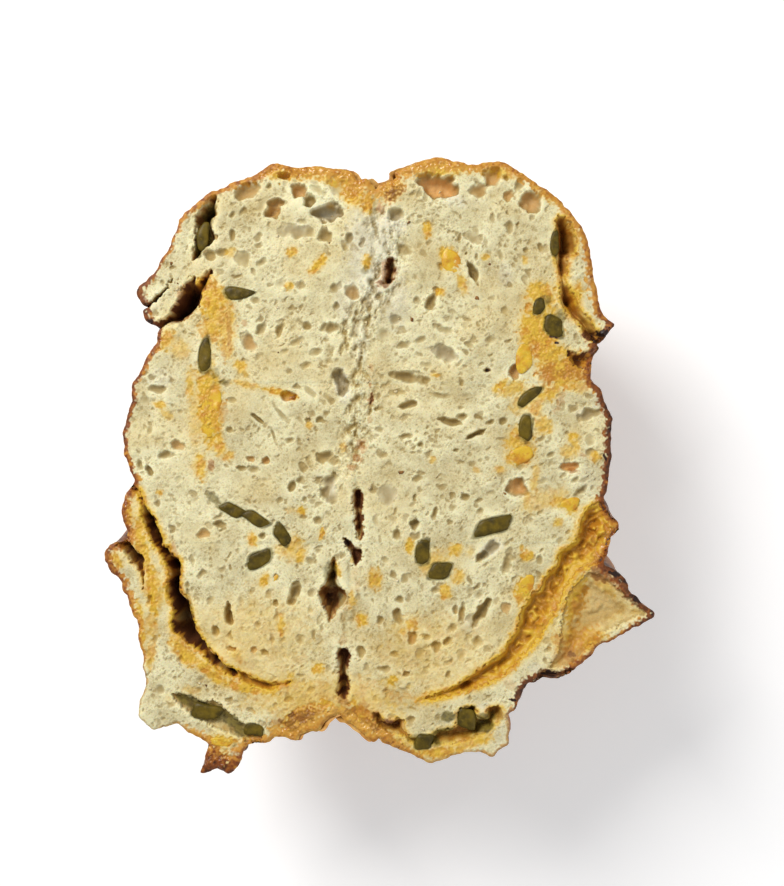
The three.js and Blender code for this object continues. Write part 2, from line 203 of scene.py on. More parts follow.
# Every oval: centre, half sizes, and turn, in degrees counterclockwise as seen from above.
# Gas bubbles that the knife opened, with depth as a share of the radius.
BUBBLES = [
    (284, 176, 8, 4, 0, 1.3), (298, 190, 8, 8, 0, 1.3), (248, 191, 14, 8, 20, .7),
    (269, 186, 2.5, 3.5, 0, 1), (274, 208, 8, 12, -32, 1.3), (309, 200, 7, 8, 0, 1.2),
    (328, 211, 16, 10, 0, 1.1), (340, 188, 15, 8, -35, .35), (295, 231, 19, 8, -5, .35),
    (325, 236, 7, 9, 0, .8), (349, 237, 4, 6, 0, .9), (345, 247, 3.5, 6, 20, .9),
    (232, 235, 3, 6, 0, .9), (210, 255, 6, 7, 0, .7), (222, 252, 8, 4, 0, .6),
    (243, 258, 8, 8, 0, .4), (167, 263, 2.5, 3.5, 0, 1), (249, 342, 7, 11, 25, .6),
    (280, 330, 3.5, 9, -22, .8), (306, 327, 7, 5, 0, .8), (330, 328, 10, 6, 0, .7),
    (336, 306, 4, 4, 0, .8), (334, 288, 5, 5, 0, .7), (250, 459, 5, 3, -20, 1),
    (266, 461, 5, 4, -10, 1.1), (241, 468, 5, 3, -10, .9), (254, 469, 6, 3.5, 0, .8),
    (326, 457, 10, 6, 10, .8), (328, 487, 8, 14, -20, .7), (292, 487, 4, 6, -20, .8),
    (308, 420, 3, 3, 0, 1), (258, 419, 2, 9, 50, .9), (274, 437, 1.5, 9, 20, .8),
    (231, 400, 5, 4, 0, .6), (318, 551, 4, 3, 20, .9), (262, 536, 4, 3, 0, 1.3),
    (281, 545, 3, 2, 0, 1.2), (352, 292, 8, 10, 0, .5), (178, 445, 8, 5, -10, .9),
    (165, 455, 8, 4, 10, .7), (149, 470, 3, 7, 25, 1), (140, 465, 3, 6, 20, .8),
    (156, 389, 9, 5, -15, .5), (342, 382, 7, 17, 15, .8), (333, 460, 7, 6, 0, .8),
    (330, 490, 8, 14, 0, .4), (220, 524, 8, 4, -20, .9), (204, 534, 7, 5, 10, .8),
    (229, 615, 4, 13, 6, 1.3), (215, 631, 4, 7, 15, .9), (294, 594, 6, 13, -18, 1),
    (276, 604, 3, 4, 0, .9), (232, 649, 6, 3, -15, .9), (254, 650, 3, 3, 0, 1),
    (264, 652, 4, 4, 0, .9), (187, 585, 3, 4, 0, .8), (439, 185, 23, 12, -9, .9),
    (494, 176, 12, 10, 0, .8), (478, 190, 9, 8, 15, .7), (508, 194, 5, 7, -15, .9),
    (530, 201, 11, 12, 0, .8), (520, 184, 8, 6, 20, .5), (395, 215, 9, 7, 0, .9),
    (518, 487, 11, 9, -20, 1.1), (487, 370, 4, 2.5, 0, 1.4), (515, 371, 6, 10, -12, 1.1),
    (570, 467, 10, 6, 0, .9), (588, 414, 11, 6, 15, .8), (580, 492, 8, 4, 40, .9),
    (445, 353, 17, 7, -22, .5), (408, 377, 20, 6, -8, .6), (408, 405, 10, 4, 14, .8),
    (451, 422, 13, 4, -15, .8), (476, 434, 13, 3, 25, .8), (463, 416, 6, 4, 10, .8),
    (388, 495, 11, 11, 0, .35), (465, 497, 5, 4, 0, .9), (480, 511, 4, 3, 30, 1),
    (415, 524, 5, 6, 0, 1.2), (397, 534, 4, 6, 0, .9), (482, 556, 7, 6, 20, 1.3),
    (493, 547, 10, 6, 35, .8), (477, 257, 2, 4, 0, 1), (473, 272, 4, 14, 22, 1),
    (431, 300, 6, 11, -15, .9), (417, 300, 4, 4, 0, .8), (441, 265, 4, 4, 0, 1),
    (526, 250, 3, 3, 0, .9), (541, 247, 3, 5, 20, .9), (473, 238, 9, 5, -30, .5),
    (510, 226, 4, 8, 0, .5), (481, 613, 6, 15, -30, 1), (474, 620, 8, 7, 0, .4),
    (479, 596, 4, 5, 0, .7), (478, 642, 6, 7, 10, .7), (506, 608, 5, 6, 0, .6),
    (462, 612, 4, 9, -10, .6), (412, 638, 6, 7, -20, .8), (436, 646, 7, 5, 30, .8),
    (447, 642, 6, 4, 30, .8), (427, 637, 4, 3, 0, .8), (394, 654, 5, 4, 0, .8),
    (384, 669, 6, 4, 0, .7), (407, 674, 4, 3, 0, .9), (448, 675, 3, 4, 0, .9),
    (386, 691, 4, 3, 0, 1.1), (410, 720, 5, 4, 0, .8), (506, 564, 6, 9, -28, .6),
    (493, 571, 5, 4, 0, .5), (527, 522, 3, 4, 0, .9), (531, 520, 3, 3, 0, 1),
    (467, 686, 8, 4, 18, .9), (361, 652, 5, 6, 30, .8), (306, 365, 6, 4, 20, .7),
    (300, 480, 5, 4, 10, .7), (318, 520, 5, 4, 30, .7), (240, 600, 4, 5, 0, .7),
    (258, 625, 4, 5, 10, .7), (300, 640, 4, 5, 0, .7), (310, 560, 5, 4, 0, .7),
    (265, 480, 5, 3, 10, .7), (290, 440, 6, 3, 10, .7), (320, 420, 5, 4, 0, .7),
    (230, 430, 4, 3, 0, .8), (255, 300, 5, 4, 0, .6), (300, 285, 5, 5, 0, .6),
    (180, 660, 4, 3, 20, .8), (200, 680, 5, 3, 20, .7), (160, 690, 4, 5, 0, .6),
    (150, 600, 3, 6, 0, .7), (155, 640, 3, 5, -20, .7), (290, 700, 5, 3, 0, .6),
    (436, 590, 5, 4, 0, .7), (455, 610, 4, 5, 0, .7), (400, 600, 5, 4, 0, .7),
    (380, 620, 4, 5, 0, .7), (504, 421, 5, 4, 0, .8), (491, 422, 5, 3, 20, .7),
    (501, 439, 6, 2, 0, .6), (406, 436, 7, 3, 5, .8), (420, 444, 3, 3, 0, 1),
    (456, 450, 4, 2, 0, .8), (490, 340, 5, 4, 0, .6), (505, 310, 4, 5, 0, .5),
    (435, 513, 3, 7, -15, .7), (398, 616, 5, 9, 15, .8), (289, 396, 7, 6, 10, .9),
    (262, 205, 4, 8, -35, .38), (302, 222, 5, 3, -10, .45), (318, 190, 9, 4, -30, .38),
    (232, 215, 3, 4, -40, .6), (245, 228, 4, 3, 0, .38), (262, 262, 6, 4, 30, .45),
    (280, 285, 5, 6, -30, .38), (262, 330, 5, 8, -40, .45), (296, 342, 8, 4, 30, .45),
    (316, 352, 6, 4, 20, .52), (284, 352, 5, 3, 20, .45), (330, 400, 8, 3, -50, .38),
    (310, 392, 8, 3, -40, .38), (282, 415, 9, 2.5, -45, .38), (355, 330, 5, 12, 0, .45),
    (366, 300, 4, 10, -20, .38), (405, 250, 8, 5, -30, .45), (418, 222, 5, 3, 20, .45),
    (395, 320, 7, 5, 30, .52), (383, 335, 5, 8, 0, .52), (404, 345, 6, 4, 0, .6),
    (420, 340, 7, 3, 20, .52), (470, 345, 6, 3, -20, .45), (465, 325, 4, 5, 0, .38),
    (452, 318, 3, 5, -20, .38), (520, 300, 3, 6, -10, .38), (500, 255, 3, 7, 15, .45),
    (446, 330, 9, 3, -10, .45), (426, 365, 7, 3, -10, .52), (398, 392, 9, 3, 0, .45),
    (440, 395, 12, 3, -10, .45), (466, 396, 7, 3, 10, .38), (380, 430, 4, 3, 0, .6),
    (384, 455, 5, 3, 20, .52), (418, 478, 5, 4, 30, .45), (440, 480, 4, 3, 0, .52),
    (375, 520, 3, 6, 0, .38), (385, 560, 4, 4, 0, .52), (405, 578, 4, 6, -20, .45),
    (470, 590, 4, 5, -30, .52), (452, 628, 5, 4, 0, .52), (420, 655, 5, 6, -20, .45),
    (462, 655, 5, 6, -30, .52), (402, 690, 6, 3, 0, .52), (366, 668, 3, 6, 0, .45),
    (246, 575, 4, 6, -20, .38), (210, 600, 3, 5, 0, .52), (222, 570, 4, 3, 0, .45),
    (192, 560, 3, 5, 10, .52), (205, 560, 3, 4, 0, .52), (272, 640, 3, 4, 0, .6),
    (290, 655, 4, 3, 0, .45), (310, 610, 3, 6, -10, .45), (318, 640, 5, 4, 30, .45),
    (305, 500, 3, 4, 0, .52), (280, 500, 4, 3, 30, .45), (178, 480, 4, 3, 20, .45),
    (195, 500, 4, 3, 20, .38), (150, 430, 3, 5, -10, .45), (145, 400, 4, 5, 0, .38),
    (550, 455, 5, 3, 20, .45), (590, 440, 4, 6, 10, .45), (545, 480, 4, 3, 30, .45),
    (575, 480, 5, 3, 35, .52), (560, 540, 4, 3, 40, .38), (540, 560, 4, 5, -30, .38),
    (555, 590, 4, 5, -20, .45), (548, 650, 4, 3, 20, .52), (530, 655, 3, 4, 0, .52),
    (230, 700, 4, 3, -10, .52), (250, 710, 5, 3, -15, .6), (275, 705, 4, 3, 10, .45),
    (310, 690, 5, 3, 20, .52), (205, 695, 4, 3, -30, .45), (150, 665, 3, 4, 0, .38),
]

# A warm film of fat or steam-browned starch inside a bubble: the same.
AMBER_MARKS = [
    (438, 185, 24, 13, -9, 1), (494, 176, 13, 11, 0, .6), (478, 190, 10, 9, 15, .35),
    (530, 201, 12, 13, 0, .6), (508, 194, 6, 8, -15, .5), (298, 190, 9, 9, 0, .6),
    (274, 208, 9, 13, -32, .5), (284, 176, 9, 5, 0, .5), (248, 191, 14, 8, 20, .3),
    (518, 487, 12, 10, -20, .8), (570, 467, 11, 7, 0, 1), (204, 534, 8, 6, 10, .4),
    (178, 445, 9, 6, -10, .4), (515, 371, 7, 11, -12, .6), (253, 459, 8, 5, 0, .5),
    (266, 461, 6, 5, 0, .6), (289, 396, 8, 7, 10, 1), (250, 344, 8, 12, 25, .4),
    (232, 649, 8, 5, 0, .6), (254, 650, 5, 5, 0, .6), (465, 686, 10, 6, 18, .9),
    (412, 638, 8, 9, -20, .5), (506, 608, 7, 8, 0, .4), (352, 292, 9, 11, 0, .3),
]

# Melted cheese in the crumb: centre, half sizes, turn, strength.
CHEESE_MARKS = [
    (203, 283, 11, 8, 20, .8), (212, 303, 12, 20, 10, .75), (228, 342, 8, 22, 0, .5),
    (212, 325, 8, 14, 0, .5), (207, 362, 9, 20, 0, .5), (210, 412, 13, 36, 3, 1),
    (219, 446, 7, 14, 10, .7), (229, 456, 6, 6, 0, .6), (195, 420, 9, 40, 0, .35),
    (198, 467, 8, 14, 0, .4), (245, 384, 20, 4, -12, .6), (278, 392, 18, 4, -15, .8),
    (293, 397, 6, 4, 0, .9), (241, 370, 10, 5, -30, .5), (160, 493, 5, 4, 0, .7),
    (230, 252, 7, 6, 0, .5), (292, 252, 6, 7, -20, .7), (318, 265, 5, 15, -40, .9),
    (289, 286, 5, 5, 0, .7), (292, 546, 5, 13, -35, .6), (253, 540, 6, 8, 0, .8),
    (264, 580, 5, 9, -30, .8), (290, 510, 6, 5, 0, .4), (281, 626, 4, 15, 0, .7),
    (178, 646, 13, 8, -50, .8), (205, 668, 15, 6, -40, .8), (236, 686, 20, 5, -20, .8),
    (268, 690, 16, 4, -8, .7), (224, 742, 15, 6, 5, .9), (290, 675, 6, 4, 0, .6),
    (310, 425, 5, 4, 0, .6), (343, 447, 5, 6, 0, .5), (147, 560, 4, 22, 4, .7),
    (156, 590, 7, 26, 6, .6), (152, 625, 8, 16, 6, .5), (128, 512, 5, 20, 10, .8),
    (116, 560, 7, 12, 30, .7), (427, 230, 5, 9, 0, .8), (448, 258, 10, 14, 20, .9),
    (462, 283, 6, 13, 20, .6), (440, 292, 6, 5, 0, .8), (485, 257, 6, 4, 0, .7),
    (525, 260, 4, 6, 10, .6), (541, 295, 18, 16, 0, .75), (528, 335, 9, 30, 0, .8),
    (548, 352, 24, 13, -10, .9), (572, 366, 20, 16, -10, .9), (581, 386, 14, 9, 0, .5),
    (550, 392, 16, 9, 40, .7), (513, 388, 18, 7, 20, .6), (520, 455, 17, 11, 10, .9),
    (500, 470, 8, 5, 0, .6), (476, 470, 5, 4, 0, .5), (433, 460, 5, 4, 0, .6),
    (435, 375, 6, 3, 0, .7), (535, 480, 5, 22, -6, .5), (527, 500, 5, 12, -15, .5),
    (543, 425, 12, 11, -20, .6), (573, 437, 7, 5, 0, .8), (568, 452, 12, 8, 0, .5),
    (595, 457, 7, 6, 0, .7), (560, 502, 12, 7, 10, .7), (572, 508, 9, 7, 30, .8),
    (558, 522, 6, 6, 0, .6), (523, 590, 9, 15, -15, .9), (410, 545, 5, 10, 0, .8),
    (455, 550, 8, 8, 0, .7), (445, 592, 7, 9, 0, .7), (433, 563, 18, 16, 0, .5),
    (458, 577, 8, 9, 0, .6), (412, 625, 7, 8, 0, .7), (403, 632, 5, 5, 0, .6),
    (393, 680, 6, 5, 0, .9), (375, 580, 8, 13, 0, .7), (362, 620, 7, 8, 0, .8),
    (352, 600, 5, 10, 0, .6), (527, 556, 7, 6, 0, .8), (521, 548, 3, 5, 0, .7),
    (367, 262, 5, 9, 0, .8), (445, 692, 30, 5, 12, .8), (490, 676, 22, 8, 30, .8),
    (516, 650, 12, 8, 50, .9), (570, 570, 16, 10, 40, .6), (590, 600, 34, 24, 30, .25),
    (440, 752, 26, 7, 8, .8), (466, 738, 26, 5, 10, .6), (400, 742, 18, 6, -25, .6),
    (365, 715, 14, 9, -40, .7), (300, 722, 22, 8, 10, .7), (330, 205, 6, 4, 0, .4),
    (190, 690, 14, 5, -20, .4), (170, 700, 8, 8, 0, .3), (250, 705, 20, 5, 0, .35),
    (354, 192, 14, 15, 30, .95), (368, 203, 6, 14, 0, .9), (392, 184, 12, 20, -10, .95),
    (330, 180, 18, 6, -20, .7), (300, 720, 28, 14, 28, .95), (325, 705, 10, 8, 40, .9),
    (382, 733, 22, 8, -35, .95), (358, 712, 14, 10, -45, .95), (212, 330, 14, 16, 0, .7),
    (166, 340, 12, 10, 60, .7), (160, 405, 9, 4, -10, .7), (167, 415, 8, 5, -30, .5),
    (201, 468, 6, 18, 0, .75), (190, 385, 5, 22, 0, .6), (240, 366, 8, 6, -40, .7),
    (215, 760, 14, 8, 10, .8), (165, 560, 5, 26, 15, .6), (585, 540, 20, 24, 0, .5),
    (567, 640, 20, 20, 20, .5), (570, 605, 10, 20, 0, .35), (335, 566, 3, 5, 0, .8),
    (352, 560, 3, 4, 0, .5), (500, 386, 12, 5, 35, .8), (536, 410, 8, 8, 0, .6),
    (575, 444, 10, 4, -40, .6), (470, 552, 4, 8, 0, .4), (300, 556, 6, 9, 0, .7),
    (260, 640, 75, 60, 0, .3), (430, 650, 75, 50, 0, .3), (330, 700, 100, 30, 0, .42),
    (540, 330, 22, 34, 0, .9), (560, 372, 26, 18, -20, .95), (530, 400, 26, 14, 20, .5),
    (520, 440, 16, 16, 0, .7), (545, 500, 34, 12, 20, .35), (290, 548, 18, 16, 0, .45),
    (212, 300, 16, 26, 10, .8), (209, 400, 14, 44, 3, .85), (180, 350, 12, 12, 30, .4),
    (141, 545, 7, 34, 8, .85), (152, 590, 7, 34, 5, .85), (138, 625, 7, 28, 5, .95),
    (150, 655, 6, 18, -10, .6), (576, 600, 14, 30, -15, .9), (590, 640, 18, 14, 20, .8),
    (604, 586, 22, 8, -35, .5), (236, 655, 16, 7, -50, .5), (186, 655, 20, 9, -45, .8),
    (214, 676, 20, 6, -35, .8), (252, 690, 26, 5, -10, .85), (215, 742, 20, 8, 0, .8),
    (470, 742, 30, 7, 12, .7), (420, 752, 16, 7, -10, .6), (246, 742, 8, 5, 20, .5),
    (598, 520, 12, 18, -10, .9), (566, 236, 8, 22, 0, .8), (574, 300, 8, 20, -25, .9),
    (222, 300, 8, 8, 0, .7), (190, 290, 8, 10, 30, .4), (163, 320, 12, 5, 10, .3),
    (350, 178, 30, 12, -10, .8), (296, 172, 42, 8, 3, .9), (440, 168, 46, 8, 0, .8),
    (500, 170, 34, 7, -18, .6), (545, 192, 24, 7, -40, .6), (215, 768, 20, 20, 0, 1),
    (300, 728, 34, 14, 22, .9), (360, 722, 30, 14, -35, .9), (318, 669, 7, 5, 30, .95),
    (322, 534, 3, 10, -15, .8), (301, 511, 5, 5, 0, .8), (339, 572, 4, 6, -10, .7),
    (222, 318, 16, 34, 5, .6), (576, 640, 14, 18, 20, .7),
]
# Browned cheese and crumb: the same.
TOAST_MARKS = [
    (245, 323, 5, 4, 0, .5), (318, 670, 6, 4, 0, .35), (206, 408, 7, 18, 0, .45),
    (388, 272, 10, 14, 0, .6), (383, 284, 8, 5, 0, .7), (570, 374, 18, 9, -10, .55),
    (592, 356, 9, 8, 0, .8), (560, 402, 5, 14, -20, .45), (545, 372, 5, 10, 0, .45),
    (578, 360, 12, 6, 0, .6), (371, 400, 4, 5, 0, .6), (347, 600, 6, 18, -10, .35),
    (341, 616, 8, 8, 0, .25), (326, 600, 3, 6, 0, .8), (355, 575, 5, 12, 0, .3),
    (343, 700, 8, 8, 0, .6), (343, 640, 6, 8, 0, .4), (565, 240, 9, 22, 0, .7),
    (572, 310, 10, 18, -30, .4), (590, 336, 10, 8, -40, .9), (185, 300, 10, 16, 30, .6),
    (205, 228, 7, 22, 0, .5), (600, 578, 18, 5, -20, .7), (572, 655, 16, 12, 20, .5),
    (560, 640, 8, 8, 0, .5), (590, 640, 10, 12, 0, .4), (600, 560, 8, 8, 0, .6),
    (590, 535, 14, 18, 0, .5), (535, 605, 8, 26, -25, .2), (515, 640, 6, 16, -30, .2),
    (490, 668, 16, 6, 35, .2), (465, 686, 9, 5, 10, .6), (555, 575, 8, 16, -40, .2),
    (215, 765, 18, 10, 10, .6), (295, 735, 22, 6, 0, .6), (280, 722, 14, 6, 20, .45),
    (370, 725, 16, 8, -35, .6), (362, 708, 10, 10, -40, .5), (398, 748, 12, 5, -30, .5),
    (350, 190, 10, 10, 0, .35), (365, 200, 7, 14, 0, .45), (388, 190, 9, 12, 0, .4),
    (380, 208, 6, 7, 0, .5), (430, 168, 26, 5, 0, .4), (175, 560, 5, 30, 10, .5),
    (371, 368, 3, 5, 0, .45), (370, 385, 2, 4, 0, .5), (372, 398, 3, 6, 0, .8),
    (370, 420, 3, 6, 0, .4), (361, 446, 7, 9, 0, .55), (357, 458, 5, 6, 30, .6),
    (352, 468, 6, 4, 0, .5), (358, 585, 4, 10, 0, .35), (366, 330, 2, 5, 0, .3),
    (300, 722, 26, 13, 28, .5), (382, 735, 22, 8, -35, .6), (215, 760, 16, 10, 10, .65),
    (352, 190, 14, 13, 30, .5), (392, 186, 14, 20, -10, .75), (350, 714, 14, 12, 0, .6),
    (300, 722, 30, 14, 28, .7), (382, 735, 26, 9, -35, .75), (548, 374, 14, 16, 0, .5),
    (215, 762, 18, 12, 10, .85), (137, 630, 5, 26, 5, .6), (132, 530, 5, 22, 10, .4),
    (592, 640, 16, 12, 20, .45), (578, 652, 14, 8, 20, .45), (604, 574, 20, 6, -25, .7),
    (612, 530, 10, 14, 0, .5), (178, 640, 10, 20, 30, .3), (206, 284, 8, 10, 30, .4),
    (229, 330, 4, 30, 3, .5), (563, 655, 16, 14, 20, .42), (622, 590, 26, 5, -38, .5),
    (214, 412, 5, 20, 5, .4), (576, 366, 16, 10, -20, .5), (576, 378, 22, 14, -15, .35),
    (388, 724, 14, 6, -10, .85), (376, 716, 5, 5, 0, .7), (468, 732, 26, 6, 10, .5),
    (222, 412, 7, 16, 0, .4), (214, 285, 6, 8, 0, .45), (224, 350, 4, 16, 0, .4),
    (292, 398, 5, 4, 0, .75), (211, 465, 5, 7, 0, .6), (573, 470, 8, 4, -10, .6),
    (582, 455, 4, 3, 0, .5), (510, 684, 8, 8, 0, .4), (575, 380, 16, 12, -20, .4),
]
CHAR_MARKS = [
    (390, 271, 5, 11, 0, .6), (358, 512, 4, 20, 2, .55), (354, 552, 5, 8, 20, .6),
    (348, 543, 5, 4, -40, .8), (343, 676, 4, 20, 0, .55), (345, 652, 6, 5, 0, .6),
    (333, 600, 4, 12, -10, .6), (327, 603, 5, 8, 0, .7), (371, 401, 2, 3, 0, .7),
    (487, 370, 4, 2.5, 0, .8), (603, 334, 10, 6, 20, .9), (594, 340, 8, 5, -40, .8),
    (143, 293, 5, 5, 0, .5), (150, 321, 6, 3, 0, .8), (170, 322, 12, 3, 5, .6),
    (614, 574, 9, 4, -10, .9), (636, 600, 8, 4, -42, .8), (625, 588, 3, 8, 20, .5),
    (645, 608, 5, 3, -40, .6), (553, 675, 14, 5, 0, .8), (572, 655, 6, 4, 0, .6),
    (518, 694, 4, 10, -45, .7), (530, 680, 8, 4, 40, .6), (513, 700, 5, 2, 0, .9),
    (616, 517, 4, 2, 40, .8), (605, 457, 2, 5, 20, .9), (388, 726, 12, 4, -10, .35),
    (443, 734, 13, 4, 10, .35), (480, 728, 10, 7, 20, .3), (397, 752, 4, 5, 0, .8),
    (376, 716, 4, 4, 0, .3), (604, 400, 2, 8, 20, .5), (606, 430, 2, 8, 0, .4),
    (204, 755, 3, 5, 0, .5), (108, 550, 3, 5, 20, .5), (112, 573, 4, 3, -30, .6),
    (560, 265, 3, 8, 0, .5), (554, 336, 6, 3, 0, .8), (558, 343, 4, 2, 0, .9),
    (280, 721, 6, 3, 20, .6), (291, 715, 5, 3, 30, .6), (296, 728, 3, 2, 0, .6),
    (312, 715, 4, 2, 30, .5), (378, 738, 4, 2, -30, .5), (362, 722, 3, 4, 0, .5),
    (389, 728, 12, 4, -10, .5),
]
GREEN_MARKS = [
    (213, 498, 12, 6, -35, .6), (526, 430, 9, 17, 0, .7), (443, 728, 16, 4, 10, .4),
    (203, 245, 7, 14, 0, .4), (540, 312, 8, 9, 0, .4), (365, 270, 6, 6, 0, .5),
    (215, 400, 6, 8, 0, .3), (488, 755, 10, 5, 10, .3), (470, 735, 12, 5, 0, .4),
    (190, 702, 16, 8, -20, .75), (240, 732, 14, 6, -20, .7), (432, 545, 6, 6, 0, .4),
    (222, 714, 14, 8, -30, .6), (232, 506, 16, 7, -30, .35), (190, 610, 5, 26, 10, .5),
    (214, 372, 8, 8, 0, .5), (223, 382, 6, 4, 0, .6), (444, 718, 12, 5, 20, .4),
    (418, 738, 14, 6, 0, .5), (500, 716, 8, 6, 0, .4), (525, 440, 7, 6, 0, .5),
    (531, 428, 3, 15, -8, .8), (414, 520, 5, 6, 0, .4), (330, 575, 5, 10, 0, .6),
    (330, 572, 9, 14, 0, .6), (207, 216, 8, 16, -10, .8), (198, 250, 5, 10, 0, .8),
    (186, 700, 14, 7, -25, .95), (205, 711, 22, 9, -28, .95), (232, 722, 16, 8, -35, .9),
    (250, 733, 14, 7, -10, .8), (448, 716, 10, 7, 10, .8), (486, 718, 12, 7, 0, .7),
    (444, 732, 14, 5, 10, .9), (484, 728, 12, 7, 10, .8), (432, 742, 12, 6, -10, .7),
    (560, 318, 8, 12, -20, .6), (546, 300, 7, 6, 0, .6),
]
GREY_MARKS = [
    (372, 255, 28, 60, 0, .8), (392, 225, 16, 16, 0, .8), (395, 300, 16, 30, 0, .6),
    (345, 300, 12, 30, 0, .5), (328, 211, 16, 10, 0, .9), (342, 385, 8, 20, 12, .9),
    (295, 230, 18, 8, 10, .4), (455, 200, 14, 8, -20, .5), (505, 275, 8, 14, 0, .5),
    (445, 353, 17, 7, -22, .6), (490, 549, 15, 8, 35, 1), (388, 495, 11, 11, 0, .5),
    (470, 625, 10, 10, 0, .6), (585, 414, 11, 6, 10, .6), (160, 380, 14, 12, 0, .4),
    (535, 668, 8, 6, 0, .6), (485, 710, 10, 8, 0, .7), (360, 340, 10, 30, 0, .4),
    (330, 490, 8, 14, 0, .5), (600, 400, 10, 16, 0, .4), (498, 735, 10, 14, 0, .4),
    (395, 754, 4, 10, 0, .6), (590, 480, 12, 16, 0, .3),
]
# How wide the browned edge is along the rim, how strong, and how dark: 0 golden, 1 near black.
RIM_MARKS = [
    (376, 190, 13.2, .9, .3), (350, 178, 14, 1, .28), (320, 170, 13, 1, .3),
    (290, 170, 12, 1, .38), (262, 173, 11, 1, .5), (240, 182, 8, .9, .5), (220, 190, 6.8, .9, .5),
    (200, 202, 6.8, .9, .5), (180, 222, 5.4, .9, .5), (170, 250, 4.1, .8, .6),
    (155, 272, 4.1, .8, .7), (140, 292, 9.5, .9, .8), (145, 320, 8.1, .9, .9),
    (157, 336, 6.8, .9, .7), (150, 352, 6.8, .9, .6), (138, 378, 5.4, .9, .7),
    (131, 400, 5.4, 1, .8), (124, 430, 5.4, 1, .8), (126, 460, 5.4, 1, .7),
    (133, 482, 6.8, .9, .6), (125, 500, 9.5, .9, .6), (124, 525, 9.5, 1, .5),
    (110, 550, 8.8, 1, .6), (112, 572, 9.5, 1, .7), (124, 592, 8.1, 1, .5),
    (135, 615, 6.8, .9, .4), (141, 650, 4.1, .7, .5), (143, 680, 2.7, .5, .5),
    (139, 715, 2.7, .4, .4), (160, 728, 2.7, .4, .4), (200, 740, 8.1, .8, .3),
    (215, 765, 22, 1, .8), (250, 745, 8.1, .8, .4), (275, 738, 11, .9, .3),
    (300, 737, 13.2, .9, .3), (325, 722, 13.2, .9, .2), (386, 182, 8.8, .8, .2),
    (400, 172, 13.2, .9, .35), (430, 163, 14, 1, .3), (460, 166, 12, 1, .3), (490, 164, 9, 1, .4),
    (515, 172, 8.5, 1, .4), (545, 190, 8.5, 1, .4), (566, 210, 8.1, .9, .4),
    (585, 235, 8.8, .9, .4), (592, 262, 9.9, .9, .5), (597, 290, 9.5, .9, .4),
    (606, 318, 8.1, .9, .6), (608, 335, 8.8, 1, .9), (598, 346, 9.5, 1, .8),
    (592, 365, 13.2, .9, .5), (598, 390, 6.8, 1, .8), (608, 410, 8.1, 1, .9),
    (612, 440, 8.1, 1, .9), (608, 475, 8.1, 1, .9), (605, 500, 8.1, 1, .8),
    (618, 525, 8.1, 1, .5), (608, 548, 6.8, .9, .5), (612, 570, 11, 1, .9),
    (632, 592, 9.9, 1, .9), (650, 612, 9.5, 1, .9), (635, 627, 4.1, .8, .6),
    (605, 643, 4.1, .8, .6), (580, 664, 8.1, .9, .6), (555, 678, 8.8, 1, .9),
    (535, 684, 8.1, 1, .95), (520, 700, 6.8, 1, .95), (510, 720, 2.7, .4, .4),
    (508, 742, 4.1, .6, .5), (490, 756, 4.1, .6, .5), (460, 755, 4.1, .5, .3),
    (432, 762, 4.1, .5, .3), (410, 753, 8.1, .8, .4), (385, 742, 13.2, .9, .4),
    (360, 730, 13.2, .9, .2), (345, 720, 8.8, .8, .2),
]
RIM_MARK_REACH = 14             # how far along the rim a mark is felt, pixels
# What lines each pocket: cheese, toast and char; the char, strongest away from the pocket's edge,
# is partly burnt crust and partly painted shade deep inside.
LININGS = {
    "ear_slit": (0, .5, .6), "upper_left": (.3, .95, .7), "shut_left": (.3, .6, .2),
    "long_left": (.95, .85, .5), "left_seam": (.95, .35, 0), "cleft": (.5, .7, .3),
    "upper_right": (.8, .45, .05), "ledge_right": (.4, .75, .1), "trough": (1, .06, 0),
    "lower_left": (.3, .25, 0), "flap": (.32, 0, 0), "flap_shade": (.2, .8, .6),
    "under_right": (.7, .35, 0),
    "slot_upper": (0, .9, .45), "slot_middle": (0, .9, .4), "hole": (.2, .6, .3),
    "slot_lower": (0, .9, .4), "burnt_pit": (0, .9, .4),
}
# Where the crumb was torn and not cut: the band along the seam, in pixels of height and width.
TORN_SPAN = (195, 500)
TORN_HALF_WIDTH = 32

# Chunks that keep their own form: the same centre, half sizes and turn.
JALAPENOS = [
    (203, 236, 6, 14, -5), (240, 293, 16, 9, 0), (205, 355, 7, 18, 0), (232, 510, 12, 6, -30),
    (256, 519, 13, 6, -35), (282, 535, 11, 7, -50), (260, 559, 13, 9, 20),
    (207, 712, 15, 9, -10), (254, 730, 10, 7, -10), (555, 243, 5, 13, 0), (539, 306, 7, 8, 0),
    (554, 326, 11, 11, 0), (530, 396, 15, 6, 38), (526, 427, 7, 13, 0), (493, 526, 18, 9, 12),
    (423, 552, 8, 13, 0), (440, 571, 11, 9, 0), (467, 719, 10, 10, 0), (424, 742, 9, 8, 0),
]
CHEESES = [
    (211, 412, 11, 24, -5), (524, 357, 9, 16, 0), (452, 262, 10, 14, 35),
    (520, 456, 14, 9, 20), (568, 506, 13, 7, 25), (526, 586, 8, 12, -20),
    (272, 578, 6, 9, -35), (222, 742, 12, 5, -5),
]

# ---------------------------------------------------------------- the lattice and its fields
MARGIN = 3                      # lattice cells kept free round the loaf
ACROSS = np.arange(cad_low.x - MARGIN * CELL, cad_high.x + (MARGIN + 1) * CELL, CELL)
ALONG = np.arange(cad_low.y - MARGIN * CELL, cad_high.y + (MARGIN + 1) * CELL, CELL)
FIELD_X, FIELD_Y = np.meshgrid(ACROSS, ALONG)
SHAPE = FIELD_X.shape


def to_metres(points):
    """Points of the photograph in the part's frame."""
    points = np.array(points, float)
    return np.column_stack([
        (points[:, 0] - PHOTO_CENTRE[0]) * PIXEL, (PHOTO_CENTRE[1] - points[:, 1]) * PIXEL])


